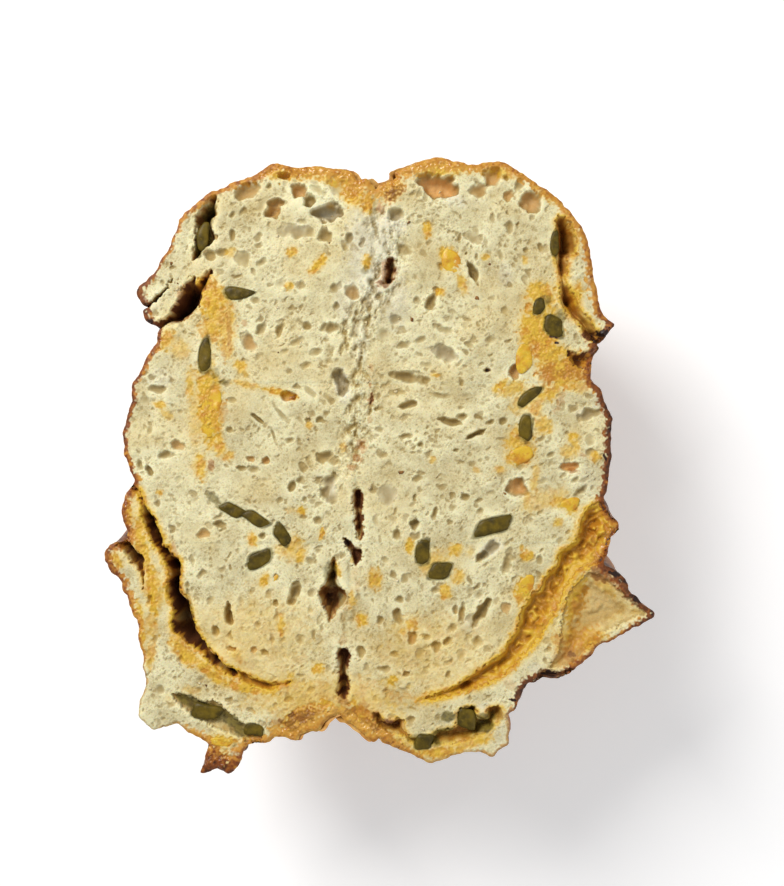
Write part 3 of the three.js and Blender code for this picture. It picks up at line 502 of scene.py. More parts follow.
SEAM_TOP, SEAM_BOTTOM = to_metres([TOP_NOTCH, BOTTOM_NOTCH])
LOAF_CENTRE = (SEAM_TOP[1] + SEAM_BOTTOM[1]) / 2


def seam_at(y):
    """Where the seam runs across at y."""
    share = (y - SEAM_BOTTOM[1]) / (SEAM_TOP[1] - SEAM_BOTTOM[1])
    return SEAM_BOTTOM[0] + share * (SEAM_TOP[0] - SEAM_BOTTOM[0])


def ramp(value, start, end):
    """0 before start, 1 after end, and a smooth rise between them."""
    share = np.clip((value - start) / (end - start), 0, 1)
    return share * share * (3 - 2 * share)


def between(first, last, start, end, moment):
    """The point between first and last at a moment between start and end."""
    return ((end - moment) * first + (moment - start) * last) / (end - start)


def smooth_run(points, spacing=0.0, count=0, closed=False):
    """A centripetal Catmull-Rom run through given points, evenly spaced, in metres."""
    path = to_metres(points)
    if closed:
        path = np.vstack([path[-1:], path, path[:2]])
    else:
        path = np.vstack([2 * path[0] - path[1], path, 2 * path[-1] - path[-2]])
    times = np.append(0, np.cumsum(np.linalg.norm(np.diff(path, axis=0), axis=1) ** 0.5))
    drawn = []
    for i in range(1, len(path) - 2):
        moment = np.linspace(times[i], times[i + 1], 16, endpoint=False)[:, None]
        near, when = path[i - 1:i + 3], times[i - 1:i + 3]
        once = [between(near[k], near[k + 1], when[k], when[k + 1], moment) for k in range(3)]
        twice = [between(once[k], once[k + 1], when[k], when[k + 2], moment) for k in range(2)]
        drawn.append(between(twice[0], twice[1], when[1], when[2], moment))
    drawn = np.vstack(drawn + [path[-2:-1]])
    length = np.append(0, np.cumsum(np.linalg.norm(np.diff(drawn, axis=0), axis=1)))
    stops = np.linspace(0, length[-1], (count or max(8, int(length[-1] / spacing))) + 1)
    even = np.column_stack([np.interp(stops, length, drawn[:, k]) for k in (0, 1)])
    return even[:-1] if closed else even


def ripple(count, spacing, size, seed):
    """Even noise along a run, with waves of that size in metres."""
    waves = np.fft.rfftfreq(count, spacing) * size
    noise = np.fft.rfft(np.random.default_rng(seed).standard_normal(count))
    noise = np.fft.irfft(noise * waves * np.exp(-waves ** 2), count)
    return noise / noise.std()


def waves_over(size, stretch):
    """Frequencies over the lattice as a share of one wave of that size in metres."""
    return size * np.hypot(
        np.fft.rfftfreq(SHAPE[1], CELL)[None], np.fft.fftfreq(SHAPE[0], CELL)[:, None] * stretch)


def grain(size, seed, stretch=1.0):
    """Even noise over the lattice, in blotches of that size, stretched along the seam."""
    waves = waves_over(size, stretch)
    noise = np.fft.rfft2(np.random.default_rng(seed).standard_normal(SHAPE))
    noise = np.fft.irfft2(noise * waves * np.exp(-waves ** 2), SHAPE)
    return noise / noise.std()


def bent(field, amount, size, seed):
    """A field read at places that wander, so that nothing in it stays round or straight."""
    return sample(field, FIELD_X + amount * grain(size, seed),
                  FIELD_Y + amount * grain(size, seed + 1))


def blurred(field, size):
    """A field over the lattice, smoothed over that size in metres."""
    return np.fft.irfft2(np.fft.rfft2(field) * np.exp(-waves_over(2 * size, 1.0) ** 2), SHAPE)


def window_round(low, high):
    """The part of the lattice between two corners."""
    first = np.floor((np.array(low) - (ACROSS[0], ALONG[0])) / CELL).astype(int)
    last = np.ceil((np.array(high) - (ACROSS[0], ALONG[0])) / CELL).astype(int) + 1
    (c0, r0), (c1, r1) = np.maximum(first, 0), np.maximum(last, 0)
    return np.s_[r0:r1, c0:c1]


def edge_distance(run, reach, closed=True):
    """How far the lattice is from a run of points, up to reach, and where along it."""
    nearest, station = np.full(SHAPE, reach), np.zeros(SHAPE)
    ends = np.roll(run, -1, axis=0) if closed else run[1:]
    for i, (start, end) in enumerate(zip(run, ends)):
        window = window_round(np.minimum(start, end) - reach, np.maximum(start, end) + reach)
        x, y = FIELD_X[window] - start[0], FIELD_Y[window] - start[1]
        step = end - start
        share = np.clip((x * step[0] + y * step[1]) / (step @ step), 0, 1)
        distance = np.hypot(x - share * step[0], y - share * step[1])
        closer = distance < nearest[window]
        nearest[window] = np.where(closer, distance, nearest[window])
        station[window] = np.where(closer, i + share, station[window])
    return nearest, station


def inside(run):
    """Which places of the lattice lie inside a closed run of points."""
    crossings = np.zeros((SHAPE[0], SHAPE[1] + 1), int)
    for start, end in zip(run, np.roll(run, -1, axis=0)):
        low, high = (start, end) if start[1] < end[1] else (end, start)
        rows = np.arange(*np.searchsorted(ALONG, [low[1], high[1]]))
        if len(rows):
            x = low[0] + (ALONG[rows] - low[1]) / (high[1] - low[1]) * (high[0] - low[0])
            np.add.at(crossings, (rows, np.searchsorted(ACROSS, x)), 1)
    return np.cumsum(crossings, axis=1)[:, :-1] % 2 == 1


def signed_distance(run, reach):
    """Distance from the edge of a closed run of points: positive inside it."""
    distance, _ = edge_distance(run, reach)
    return np.where(inside(run), distance, -distance)


def sample(field, x, y):
    """A field of the lattice read at any places."""
    column = np.clip((x - ACROSS[0]) / CELL, 0, SHAPE[1] - 1.001)
    row = np.clip((y - ALONG[0]) / CELL, 0, SHAPE[0] - 1.001)
    c, r = column.astype(int), row.astype(int)
    s, t = column - c, row - r
    return ((field[r, c] * (1 - s) + field[r, c + 1] * s) * (1 - t)
            + (field[r + 1, c] * (1 - s) + field[r + 1, c + 1] * s) * t)


def oval(x, y, half_width, half_height, turn, reach=1.0):
    """A window of the lattice round an oval, and how far out each place is: 1 at its edge."""
    size = reach * max(half_width, half_height)
    window = window_round((x - size, y - size), (x + size, y + size))
    c, s = math.cos(math.radians(turn)), math.sin(math.radians(turn))
    dx, dy = FIELD_X[window] - x, FIELD_Y[window] - y
    return window, np.hypot((dx * c + dy * s) / half_width, (dy * c - dx * s) / half_height)


def photo_oval(across, down, half_width, half_height, turn, reach=1.0):
    """The same for an oval read off the photograph."""
    (x, y), = to_metres([(across, down)])
    return oval(x, y, half_width * PIXEL, half_height * PIXEL, turn, reach)


# How each chilli chunk is shaped: boxiness, taper, bend and skew; those not named are plain.
CHILLI_SHAPES = {
    1: (2.6, 0.1, 0.2, 0.2), 2: (2.2, 0.72, 0.12, 0), 3: (2.6, 0.2, 0.3, 0.2),
    4: (4.5, 0.05, 0, 0.35), 5: (5, 0, 0.05, 0.3), 6: (4.5, 0.15, 0, -0.3),
    7: (3.6, 0.2, 0.1, 0.25), 8: (3, 0.3, 0.2, 0.2), 9: (3, 0.25, -0.2, 0),
    10: (2.6, 0.25, 0.15, 0.1), 11: (2.8, 0.3, 0, 0.3), 12: (3, 0.25, 0.1, -0.3),
    13: (2.3, 0.25, -0.3, 0), 14: (2.8, 0.15, 0.2, 0), 15: (4.5, 0.1, -0.12, 0.3),
    16: (2.8, 0.1, 0.25, 0.15), 17: (4.5, 0.05, 0, 0.3), 18: (4, 0.2, 0, -0.2),
    19: (4, 0.1, 0, 0.25),
}
PLAIN_CHILLI = (2.8, 0.15, 0.1, 0)


def chunk_oval(where, boxy, taper, bend, skew):
    """A window of the lattice round a chunk, and how far out each place is in its own shape."""
    across, down, half_width, half_height, turn = where
    (x, y), = to_metres([(across, down)])
    window, _ = oval(x, y, half_width * PIXEL, half_height * PIXEL, turn, 1.4)
    c, s = math.cos(math.radians(turn)), math.sin(math.radians(turn))
    dx, dy = (FIELD_X[window] - x) / PIXEL, (FIELD_Y[window] - y) / PIXEL
    u, v = (dx * c + dy * s) / half_width, (dy * c - dx * s) / half_height
    along, aside = (u, v) if half_width > half_height else (v, u)
    along = along - skew * aside
    aside = (aside - bend * (along ** 2 - 0.35)) / (1 - taper * (np.clip(along, -1, 1) + 1) / 2)
    return window, (np.abs(along) ** boxy + np.abs(aside) ** boxy) ** (1 / boxy)


# ---------------------------------------------------------------- outlines
RIM_STATIONS = 560              # steps along each half's rim
RAGGED_EDGE = 0.15 * MM         # how far the crust's cut edge wanders


def rim_run(points, seed):
    """One half's rim, evenly spaced and a little ragged except at the notches."""
    run = smooth_run(points, count=RIM_STATIONS)
    spacing = np.linalg.norm(run[1] - run[0])
    along = np.gradient(run, axis=0)
    outward = np.column_stack([along[:, 1], -along[:, 0]])
    outward /= np.linalg.norm(outward, axis=1)[:, None]
    wander = 0.6 * ripple(len(run), spacing, 3 * MM, seed) + ripple(
        len(run), spacing, 9 * MM, seed + 1)
    ends = np.minimum(np.arange(len(run)), np.arange(len(run))[::-1])
    return run + outward * (RAGGED_EDGE * wander * ramp(ends, 0, 6))[:, None]


left_rim, right_rim = rim_run(LEFT_RIM, 11), rim_run(RIGHT_RIM, 13)
left_belly = smooth_run(LEFT_BELLY, count=RIM_STATIONS)
right_belly = smooth_run(RIGHT_BELLY, count=RIM_STATIONS)
outline = np.vstack([left_rim[:-1], right_rim[:-1]])
plain_outline = np.vstack([left_belly[:-1], right_belly[:-1]])
RIM_REACH = 14 * MM             # how far in from the rim places are measured
rim_distance, rim_station = edge_distance(outline, RIM_REACH)
in_loaf = inside(outline)
rim_depth = np.where(in_loaf, rim_distance, -rim_distance)
# Noise over the lattice, by the size of its blotches in mm.
ROUGH = {size: grain(size * MM, int(size * 10)) for size in (1.6, 3.0, 6.0, 18.0)}
RAGGED = 0.6 * ROUGH[3.0] + 0.4 * ROUGH[1.6]

# ---------------------------------------------------------------- tints of the cut faces


def painted(marks, ragged=0.22):
    """How strongly each place is tinted by listed marks, with ragged edges."""
    tint = np.zeros(SHAPE)
    for *where, strength in marks:
        window, distance = photo_oval(*where, reach=1.6)
        edge = distance + ragged * RAGGED[window]
        tint[window] = np.maximum(tint[window], strength * (1 - ramp(edge, 0.45, 1.25)))
    return tint


cheese = painted(CHEESE_MARKS)
toast = painted(TOAST_MARKS)
char = painted(CHAR_MARKS, 0.3)
green = painted(GREEN_MARKS, 0.1)
grey = painted(GREY_MARKS, 0.15)
amber = painted(AMBER_MARKS, 0.05)

# The browned edge: what the marks nearest along the rim say, carried inwards.
rim_marks = np.array([mark[2:] for mark in RIM_MARKS])
rim_places = to_metres([mark[:2] for mark in RIM_MARKS])
near_rim = np.abs(rim_depth) < RIM_REACH
spread = np.hypot(
    FIELD_X[near_rim][:, None] - rim_places[:, 0],
    FIELD_Y[near_rim][:, None] - rim_places[:, 1]) / (RIM_MARK_REACH * PIXEL)
weight = np.exp(-spread ** 2 / 2) + 1e-9
width, strength, tone = (weight @ rim_marks / weight.sum(1)[:, None]).T
crust_band, crust_tone = np.zeros(SHAPE), np.zeros(SHAPE)
inward = np.abs(rim_depth[near_rim]) / (width * PIXEL) + 0.28 * RAGGED[near_rim]
crust_band[near_rim] = strength * (1 - ramp(inward, 0.35, 1.25))
crust_tone[near_rim] = tone - 0.25 * ramp(inward, 0, 1) + 0.12 * ROUGH[3.0][near_rim]
crust_tone = np.clip(crust_tone, 0, 1)

# ---------------------------------------------------------------- relief of the cut faces
POCKET_STEP = 0.8 * MM          # spacing of the points along a pocket's edge
POCKET_REACH = 7 * MM           # how far from that edge its walls are shaped
LIP_DEPTH = 1.4                 # how far a pocket's edge breaks straight down, mm
TROUGH_EDGE_POINTS = 20         # the last of the trough's points: the crumb's broken edge
TROUGH_REACH = 14 * MM          # how far out from that edge the trough rises
TROUGH_RISE = 3.6               # how much it rises, mm
TROUGH_WALL = 2.2               # how wide its wall slopes at the broken edge, mm
TROUGH_TAIL = (12 * MM, 36 * MM)   # where it comes up from its tail to its full depth
folds = bent(ROUGH[6.0], 0.5 * MM, 9 * MM, 59)
trough_edge, _ = edge_distance(
    smooth_run(POCKETS["trough"][2][-TROUGH_EDGE_POINTS:], spacing=POCKET_STEP), TROUGH_REACH,
    closed=False)
# How lumpy the cheese lies in some of the pockets.
LUMPS = {"trough": 0.75 * MM, "flap": 0.3 * MM, "under_right": 0.5 * MM, "left_seam": 0.4 * MM}
pocket_floor = np.zeros(SHAPE)
for name, (deep, wall, points) in POCKETS.items():
    edge = signed_distance(smooth_run(points, spacing=POCKET_STEP, closed=True), POCKET_REACH)
    ragged = edge + (0.22 * ROUGH[1.6] + 0.3 * ROUGH[3.0]) * MM
    full = deep * MM
    if name == "trough":
        full = (deep - TROUGH_RISE * ramp(trough_edge, 0.5 * MM, TROUGH_REACH)) * MM
        full = full * (0.15 + 0.85 * ramp(FIELD_X, *TROUGH_TAIL))
        wall = TROUGH_WALL
    lip_depth = min(deep, LIP_DEPTH) * MM
    fall = lip_depth * ramp(ragged, -0.1 * MM, 0.5 * MM) + (full - lip_depth) * ramp(
        edge + 0.25 * MM * ROUGH[6.0], 0.2 * MM, wall * 1.5 * MM)
    fall = fall - LUMPS.get(name, 0) * (folds + 0.5 * ROUGH[3.0]) * ramp(edge, MM, 4 * MM)
    pocket_floor = np.minimum(pocket_floor, -fall)
    cheesy, browned, burnt = LININGS[name]
    lip = np.exp(-(ragged / (1.3 * MM)) ** 2)
    within = ramp(ragged, 0, 0.8 * MM)
    char_and_shade_inside = ramp(edge, 0.8 * MM, 3.2 * MM)
    cheese = np.maximum(cheese, cheesy * np.maximum(lip * 0.9, within * (1 - browned)))
    toast = np.maximum(toast, browned * within * np.clip(1 + 0.5 * ROUGH[6.0], 0.2, 1.2))
    # Char grows away from the pocket's edge: partly burnt crust, partly painted shade deep in the
    # pocket.
    char = np.maximum(char, burnt * char_and_shade_inside)

bubble_floor, in_bubble = np.zeros(SHAPE), np.zeros(SHAPE)
for *where, share in BUBBLES:
    window, out = photo_oval(*where, reach=1.4)
    radius = (where[2] + where[3]) / 2 * PIXEL
    out = out + 0.13 * ROUGH[6.0][window] * min(1, radius / (2.5 * MM)) + (
        0.16 * ROUGH[3.0][window] + 0.06 * ROUGH[1.6][window]) * MM / max(radius, MM)
    depth = 1.05 * share * radius
    floor = -depth * np.clip(1 - out ** 2, 0, 1) ** 0.8
    bubble_floor[window] = np.minimum(bubble_floor[window], floor)
    in_bubble[window] = np.maximum(in_bubble[window], 1 - ramp(out, 0.7, 1.0))

OVALS = np.array([bubble[:5] for bubble in BUBBLES])
LEAN_REACH = 15 * MM            # how far a listed bubble sways the pores round it


def leaning(x, y):
    """How pores lean at some places, in degrees: as the listed bubbles near them do."""
    lean = np.radians(OVALS[:, 4] + 90 * (OVALS[:, 3] > OVALS[:, 2]))
    places = to_metres(OVALS[:, :2])
    gap = (x[:, None] - places[:, 0]) ** 2 + (y[:, None] - places[:, 1]) ** 2
    pull = np.exp(-gap / (2 * LEAN_REACH ** 2)) * np.abs(np.log(OVALS[:, 2] / OVALS[:, 3]))
    return np.degrees(np.arctan2(pull @ np.sin(2 * lean), pull @ np.cos(2 * lean)) / 2)


def opened_pores(count, smallest, largest, tail, stretch, depth, seed):
    """Pores that the knife opened: bowls of random size; a high tail makes large ones rare."""
    draws = np.random.default_rng(seed)
    x = draws.uniform(cad_low.x, cad_high.x, count)
    y = draws.uniform(cad_low.y, cad_high.y, count)
    size = np.minimum(smallest * draws.uniform(0.02, 1, count) ** (-1 / tail), largest)
    long = 1 + stretch * draws.uniform(0, 1, count) ** 1.5
    turn = leaning(x, y) + draws.normal(0, 24, count)
    share = depth * draws.uniform(0.45, 1.15, count)
    floor = np.zeros(SHAPE)
    for i in range(count):
        window, out = oval(
            x[i], y[i], size[i] * long[i] ** 0.5, size[i] / long[i] ** 0.5, turn[i])
        bowl = -share[i] * size[i] * np.clip(1 - out ** 2, 0, 1) ** 0.75
        floor[window] = np.minimum(floor[window], bowl)
    return floor


small_pores = opened_pores(
    24000, smallest=0.36 * MM, largest=0.95 * MM, tail=3.4, stretch=1.0, depth=0.75, seed=5)
large_pores = opened_pores(
    1500, smallest=0.7 * MM, largest=1.7 * MM, tail=2.6, stretch=1.5, depth=0.6, seed=6)
openness = 0.75 + 0.3 * grain(30 * MM, 43)
pore_floor = np.minimum(
    bent(small_pores, 0.18 * MM, 2.4 * MM, 51) * np.clip(openness, 0.4, 1.1),
    bent(large_pores, 0.35 * MM, 4 * MM, 53))

# The torn band along the seam: pale shreds, and the crease where the halves part.
torn_across = FIELD_X - seam_at(FIELD_Y)
torn_down = PHOTO_CENTRE[1] - FIELD_Y / PIXEL
torn_centre = 4 * MM * grain(70 * MM, 23)
torn = 1 - ramp(np.abs(torn_across - torn_centre), 0.25 * TORN_HALF_WIDTH * PIXEL,
                TORN_HALF_WIDTH * PIXEL)
torn = torn * ramp(torn_down, TORN_SPAN[0] - 12, TORN_SPAN[0] + 25) * (
    1 - ramp(torn_down, TORN_SPAN[1] - 60, TORN_SPAN[1] + 20))
shreds = 0.6 * bent(grain(7 * MM, 31, 1.8), MM, 8 * MM, 55) + 0.3 * grain(3.2 * MM, 32, 1.5)
shreds += 0.16 * grain(1.3 * MM, 34, 1.4)
torn_seam = np.exp(-((torn_across - 0.5 * MM * grain(9 * MM, 33)) / (1.1 * MM)) ** 2)

stuffed = np.zeros(SHAPE)       # where chilli sits in the crumb
for i, where in enumerate(JALAPENOS, start=1):
    window, out = chunk_oval(where, *CHILLI_SHAPES.get(i, PLAIN_CHILLI))
    stuffed[window] = np.maximum(stuffed[window], 1 - ramp(out, 0.72, 0.94))
    green[window] = np.maximum(green[window], 0.7 * (1 - ramp(out, 0.95, 1.3)))
melted = np.clip(cheese * 1.2, 0, 1)
open_face = 1 - ramp(-pocket_floor, 0.8 * MM, 2.5 * MM)
relief = 0.3 * MM * ROUGH[18.0] + 0.07 * MM * folds + 0.015 * MM * ROUGH[1.6]
relief += (1 - 0.6 * np.maximum(melted, crust_band)) * (1 - 0.35 * torn) * pore_floor
relief += melted * (0.13 * ROUGH[3.0] + 0.08 * ROUGH[1.6]) * MM
relief -= toast * np.clip(0.5 * folds + 0.3 * ROUGH[3.0], -0.3, 1) * MM
relief = relief * (1 - 0.85 * in_bubble) * (0.1 + 0.9 * open_face) + bubble_floor
relief += torn * np.clip(shreds, -2.2, 0.6) * MM - 0.35 * MM * torn_seam * in_loaf
relief += pocket_floor
relief = relief * (1 - stuffed) + np.minimum(relief, -1.3 * MM) * stuffed
relief -= 0.6 * MM * (1 - ramp(rim_depth, 0, 1.3 * MM))
relief = np.minimum(relief, 0.9 * MM)
HEIGHT = CUT + relief

# Painted shade for the crumb: darker the deeper a bubble or pore goes.
hollow = ramp(-(bubble_floor + pore_floor), 0.1 * MM, 3.2 * MM)
pores = ramp(-pore_floor, 0.04 * MM, 0.42 * MM) * (1 - in_bubble) * open_face
# Painted light and shade: lighter on the ridges and rises of the relief, darker in its small and
# broad pits.
shallow = np.maximum(relief, -3 * MM)
cavity = np.clip((relief - blurred(shallow, 0.8 * MM)) / (0.5 * MM), -1, 1)
basin = np.clip((blurred(shallow, 0.6 * MM) - blurred(shallow, 4 * MM)) / MM, -1, 1)
halo = blurred(cheese, 3 * MM)
TINTS = {
    "cheese": cheese, "toast": toast, "char": char, "green": green, "grey": grey,
    "hollow": hollow, "cavity": cavity, "pores": pores, "basin": basin, "bubble": in_bubble,
    "amber": amber * in_bubble, "halo": halo, "crust_band": crust_band, "crust_tone": crust_tone}

# ---------------------------------------------------------------- meshes


def read_places(piece):
    """Where a piece's vertices are, as rows of x, y and z."""
    places = np.empty(len(piece.data.vertices) * 3)
    piece.data.vertices.foreach_get("co", places)
    return places.reshape(-1, 3)


def write_places(piece, places):
    """Moves a piece's vertices."""
    piece.data.vertices.foreach_set("co", np.ascontiguousarray(places, float).ravel())
    piece.data.update()


def write_tint(piece, name, values):
    """Keeps one number for each vertex, for the piece's material to read."""
    tint = piece.data.attributes.new(name, "FLOAT", "POINT")
    tint.data.foreach_set("value", np.ascontiguousarray(values, np.float32))


def flat_lattice(name, columns, rows):
    """A flat sheet of faces to be moved into shape, with each vertex's column and row."""
    bpy.ops.mesh.primitive_grid_add(x_subdivisions=columns, y_subdivisions=rows, size=1)
    piece = bpy.context.object
    piece.name = name
    places = read_places(piece)
    column = np.rint((places[:, 0] + 0.5) * columns).astype(int)
    row = np.rint((places[:, 1] + 0.5) * rows).astype(int)
    return piece, column, row


def choose_faces(piece, chosen):
    """Selects exactly these faces of a piece."""
    for parts in (piece.data.vertices, piece.data.edges):
        parts.foreach_set("select", np.zeros(len(parts), bool))
    piece.data.polygons.foreach_set("select", chosen)


def extend_edge(piece, moved):
    """Extrudes the open edge of a piece, and puts the new vertices where moved says."""
    bpy.ops.object.mode_set(mode="EDIT")
    bpy.ops.mesh.select_mode(type="EDGE")
    bpy.ops.mesh.select_all(action="DESELECT")
    bpy.ops.mesh.select_non_manifold(
        extend=False, use_wire=False, use_boundary=True, use_multi_face=False,
        use_non_contiguous=False, use_verts=False)
    bpy.ops.mesh.extrude_region()
    bpy.ops.object.mode_set(mode="OBJECT")
    fresh = np.empty(len(piece.data.vertices), bool)
    piece.data.vertices.foreach_get("select", fresh)
    places = read_places(piece)
    places[fresh] = moved(places[fresh])
    write_places(piece, places)


def close_edge(piece):
    """Closes the open edge of a piece with a face."""
    bpy.ops.object.mode_set(mode="EDIT")
    bpy.ops.mesh.select_mode(type="EDGE")
    bpy.ops.mesh.select_all(action="SELECT")
    bpy.ops.mesh.fill_holes(sides=0)
    bpy.ops.object.mode_set(mode="OBJECT")


def use_normals(piece, normals):
    """Shades a piece by given normals; a row of zeros leaves that vertex to its faces."""
    piece.data.shade_smooth()
    piece.data.normals_split_custom_set_from_vertices(normals.tolist())


def domed(x, y, depth, side, overlap=0.0):
    """Where a point of the cut face goes at some depth below it, as the loaf draws in."""
    drop = np.clip(depth / LOAF_RADIUS, 0, REST_FLAT)
    new_y = LOAF_CENTRE + (y - LOAF_CENTRE) * np.sqrt(1 - drop ** 2)
    height = side * (x - seam_at(y))
    nearness = 1 - height / CRUST_SHOULDER
    flat = np.sqrt(1 - drop ** BASE_ROUNDING)
    drawn = (1 - drop ** CROWN_ROUNDING) ** (1 / CROWN_ROUNDING)
    new_height = np.where(
        height < CRUST_SHOULDER,
        CRUST_SHOULDER - (CRUST_SHOULDER - height + overlap * nearness) * flat,
        CRUST_SHOULDER + (height - CRUST_SHOULDER) * drawn)
    return seam_at(new_y) + side * new_height, new_y, CUT - depth


def overlap_at(depth):
    """How far a half runs past the seam: into its neighbour in the hinge, short of it below."""
    share = (np.maximum(depth, HINGE_DEPTH) - HINGE_DEPTH) / (LOAF_RADIUS - HINGE_DEPTH)
    return HINGE_OVERLAP - share * (HINGE_OVERLAP + BASE_SPREAD)


# ---------------------------------------------------------------- the crumb
slope_y, slope_x = np.gradient(rim_depth, CELL)
steepness = np.hypot(slope_x, slope_y) + 1e-9
inward_x, inward_y = slope_x / steepness, slope_y / steepness


def main_island(kept):
    """Lattice faces that hang together and are nowhere joined by a corner alone."""
    solid = kept[:-1, :-1] & kept[1:, :-1] & kept[:-1, 1:] & kept[1:, 1:]
    kept = np.zeros_like(kept)
    for rows in (np.s_[:-1], np.s_[1:]):
        for columns in (np.s_[:-1], np.s_[1:]):
            kept[rows, columns] |= solid
    while True:
        a, b, c, d = kept[:-1, :-1], kept[:-1, 1:], kept[1:, :-1], kept[1:, 1:]
        pinched = (a & d & ~b & ~c) | (b & c & ~a & ~d)
        if not pinched.any():
            break
        rows, columns = np.nonzero(pinched)
        kept[rows, columns] = kept[rows, columns + 1] = False
    island = np.zeros_like(kept)
    island[kept.shape[0] // 2, kept.shape[1] // 3] = True
    while True:
        grown = island.copy()
        for _ in range(20):
            grown[1:] |= grown[:-1]
            grown[:-1] |= grown[1:]
            grown[:, 1:] |= grown[:, :-1]
            grown[:, :-1] |= grown[:, 1:]
            grown &= kept
        if (grown == island).all():
            return island
        island = grown


corners_in = in_loaf[:-1, :-1] & in_loaf[1:, :-1] & in_loaf[:-1, 1:] & in_loaf[1:, 1:]
loaf_faces = main_island(corners_in)
used = np.zeros(SHAPE, int)
for rows in (np.s_[:-1], np.s_[1:]):
    for columns in (np.s_[:-1], np.s_[1:]):
        used[rows, columns] += loaf_faces
on_edge = (used > 0) & (used < 4)
# The sheet's outermost vertices move out onto the rim itself.
reach = np.where(on_edge, rim_depth, 0)
SHEET_X = FIELD_X - reach * inward_x
SHEET_Y = FIELD_Y - reach * inward_y
SHEET_Z = np.where(on_edge, sample(HEIGHT, SHEET_X, SHEET_Y), HEIGHT)
# What lies deep draws in with the dome, as the crust beside it does.
drawing_in = [
    blurred((1 - ramp(rim_distance, 0, RIM_REACH)) * np.interp(
        rim_station, np.arange(len(outline)), (plain_outline - outline)[:, k]), 1.2 * MM)
    for k in (0, 1)]


def sunk(x, y, depth):
    """Where a point of the cut face goes at some depth, ears and all."""
    fade = ramp(depth, 0, EAR_REACH)
    return domed(
        x + sample(drawing_in[0], x, y) * fade, y + sample(drawing_in[1], x, y) * fade,
        depth, np.where(x < seam_at(y), -1, 1))


SHEET_X, SHEET_Y, _ = sunk(SHEET_X, SHEET_Y, np.maximum(CUT - SHEET_Z, 0))
fall_y, fall_x = np.gradient(blurred(HEIGHT, 0.12 * MM), CELL)
NORMALS = np.dstack([-fall_x, -fall_y, np.ones(SHAPE)])
NORMALS /= np.linalg.norm(NORMALS, axis=2)[..., None]

LID_INSET = 0.8 * MM            # how far the crumb stands back under its own edge
CRUMB_DEPTH = 28 * MM           # how deep the crumb pieces are made
CRUMB_INSET = 4.5 * MM          # how far its sides stand back from the crust at that depth


def set_back(x, y, step):
    """Points at the rim moved inwards by a step; others stay."""
    step = step * (1 - ramp(sample(rim_distance, x, y), 1 * MM, 4 * MM))
    return x + step * sample(inward_x, x, y), y + step * sample(inward_y, x, y)


def under_lid(places):
    """The first row below the crumb's edge: set back from the crust, straight down elsewhere."""
    x, y, z = places.T
    return np.column_stack([*set_back(x, y, LID_INSET), z - 1.2 * MM])


def crumb_floor(places):
    """The crumb's underside, drawn in as the dome is."""
    x, y, z = places.T
    x, y = set_back(x, y, CRUMB_INSET)
    low = np.maximum(CUT - z + 2 * MM, CRUMB_DEPTH)
    low_x, low_y, _ = sunk(x, y, low)
    return np.column_stack([low_x, low_y, np.full(len(x), CUT - CRUMB_DEPTH)])


def crumb_tile(name, kept):
    """One part of the crumb: the relief of its lattice faces over a closed block."""
    rows, columns = np.flatnonzero(kept.any(1)), np.flatnonzero(kept.any(0))
    piece, column, row = flat_lattice(
        name, columns[-1] - columns[0] + 1, rows[-1] - rows[0] + 1)
    column, row = column + columns[0], row + rows[0]
    corners = np.empty(len(piece.data.loops), int)
    piece.data.loops.foreach_get("vertex_index", corners)
    corners = corners.reshape(-1, 4)
    away = ~kept[row[corners].min(1), column[corners].min(1)]
    write_places(piece, np.column_stack([
        SHEET_X[row, column], SHEET_Y[row, column], SHEET_Z[row, column]]))
    for tint, field in TINTS.items():
        write_tint(piece, tint, field[row, column])
    normal = piece.data.attributes.new("field_normal", "FLOAT_VECTOR", "POINT")
    normal.data.foreach_set("vector", NORMALS[row, column].astype(np.float32).ravel())
    choose_faces(piece, away)
    bpy.ops.object.mode_set(mode="EDIT")
    bpy.ops.mesh.select_mode(type="FACE")
    bpy.ops.mesh.delete(type="FACE")
    bpy.ops.object.mode_set(mode="OBJECT")
    top = len(piece.data.vertices)
    kept_normals = np.empty(top * 3, np.float32)
    piece.data.attributes["field_normal"].data.foreach_get("vector", kept_normals)
    piece.data.attributes.remove(piece.data.attributes["field_normal"])
    extend_edge(piece, under_lid)
    extend_edge(piece, crumb_floor)
    close_edge(piece)
    normals = np.zeros((len(piece.data.vertices), 3))
    normals[:top] = kept_normals.reshape(-1, 3)
    use_normals(piece, normals)
    return piece


face_x = FIELD_X[:-1, :-1] + CELL / 2
face_y = FIELD_Y[:-1, :-1] + CELL / 2
left_of_seam = face_x < seam_at(face_y)
TILE_SPLITS = (34 * MM, -30 * MM)   # where the upper, middle and lower tiles meet
upper, lower = face_y > TILE_SPLITS[0], face_y < TILE_SPLITS[1]
crumb_tiles = [
    crumb_tile(f"crumb_{side}_{height}", loaf_faces & beside & within_rows)
    for side, beside in (("left", left_of_seam), ("right", ~left_of_seam))
    for height, within_rows in (("upper", upper), ("middle", ~upper & ~lower), ("lower", lower))]

# ---------------------------------------------------------------- the crust
CRUST_ROWS = 138                # rows of faces from the rim down to the resting flat
BASE_STATIONS = 120             # steps along the base crust, from notch to notch
CRUST_THICKNESS = 1.5 * MM
CRUST_FLOOR = 33 * MM           # how deep the crumb's bed in the crust is
SMOOTH_DEPTHS = (106 * MM, 113 * MM)   # where its relief fades, so that it rests on a flat
LOW_DEPTHS = (70 * MM, 112 * MM)       # where the crust darkens towards the bottom


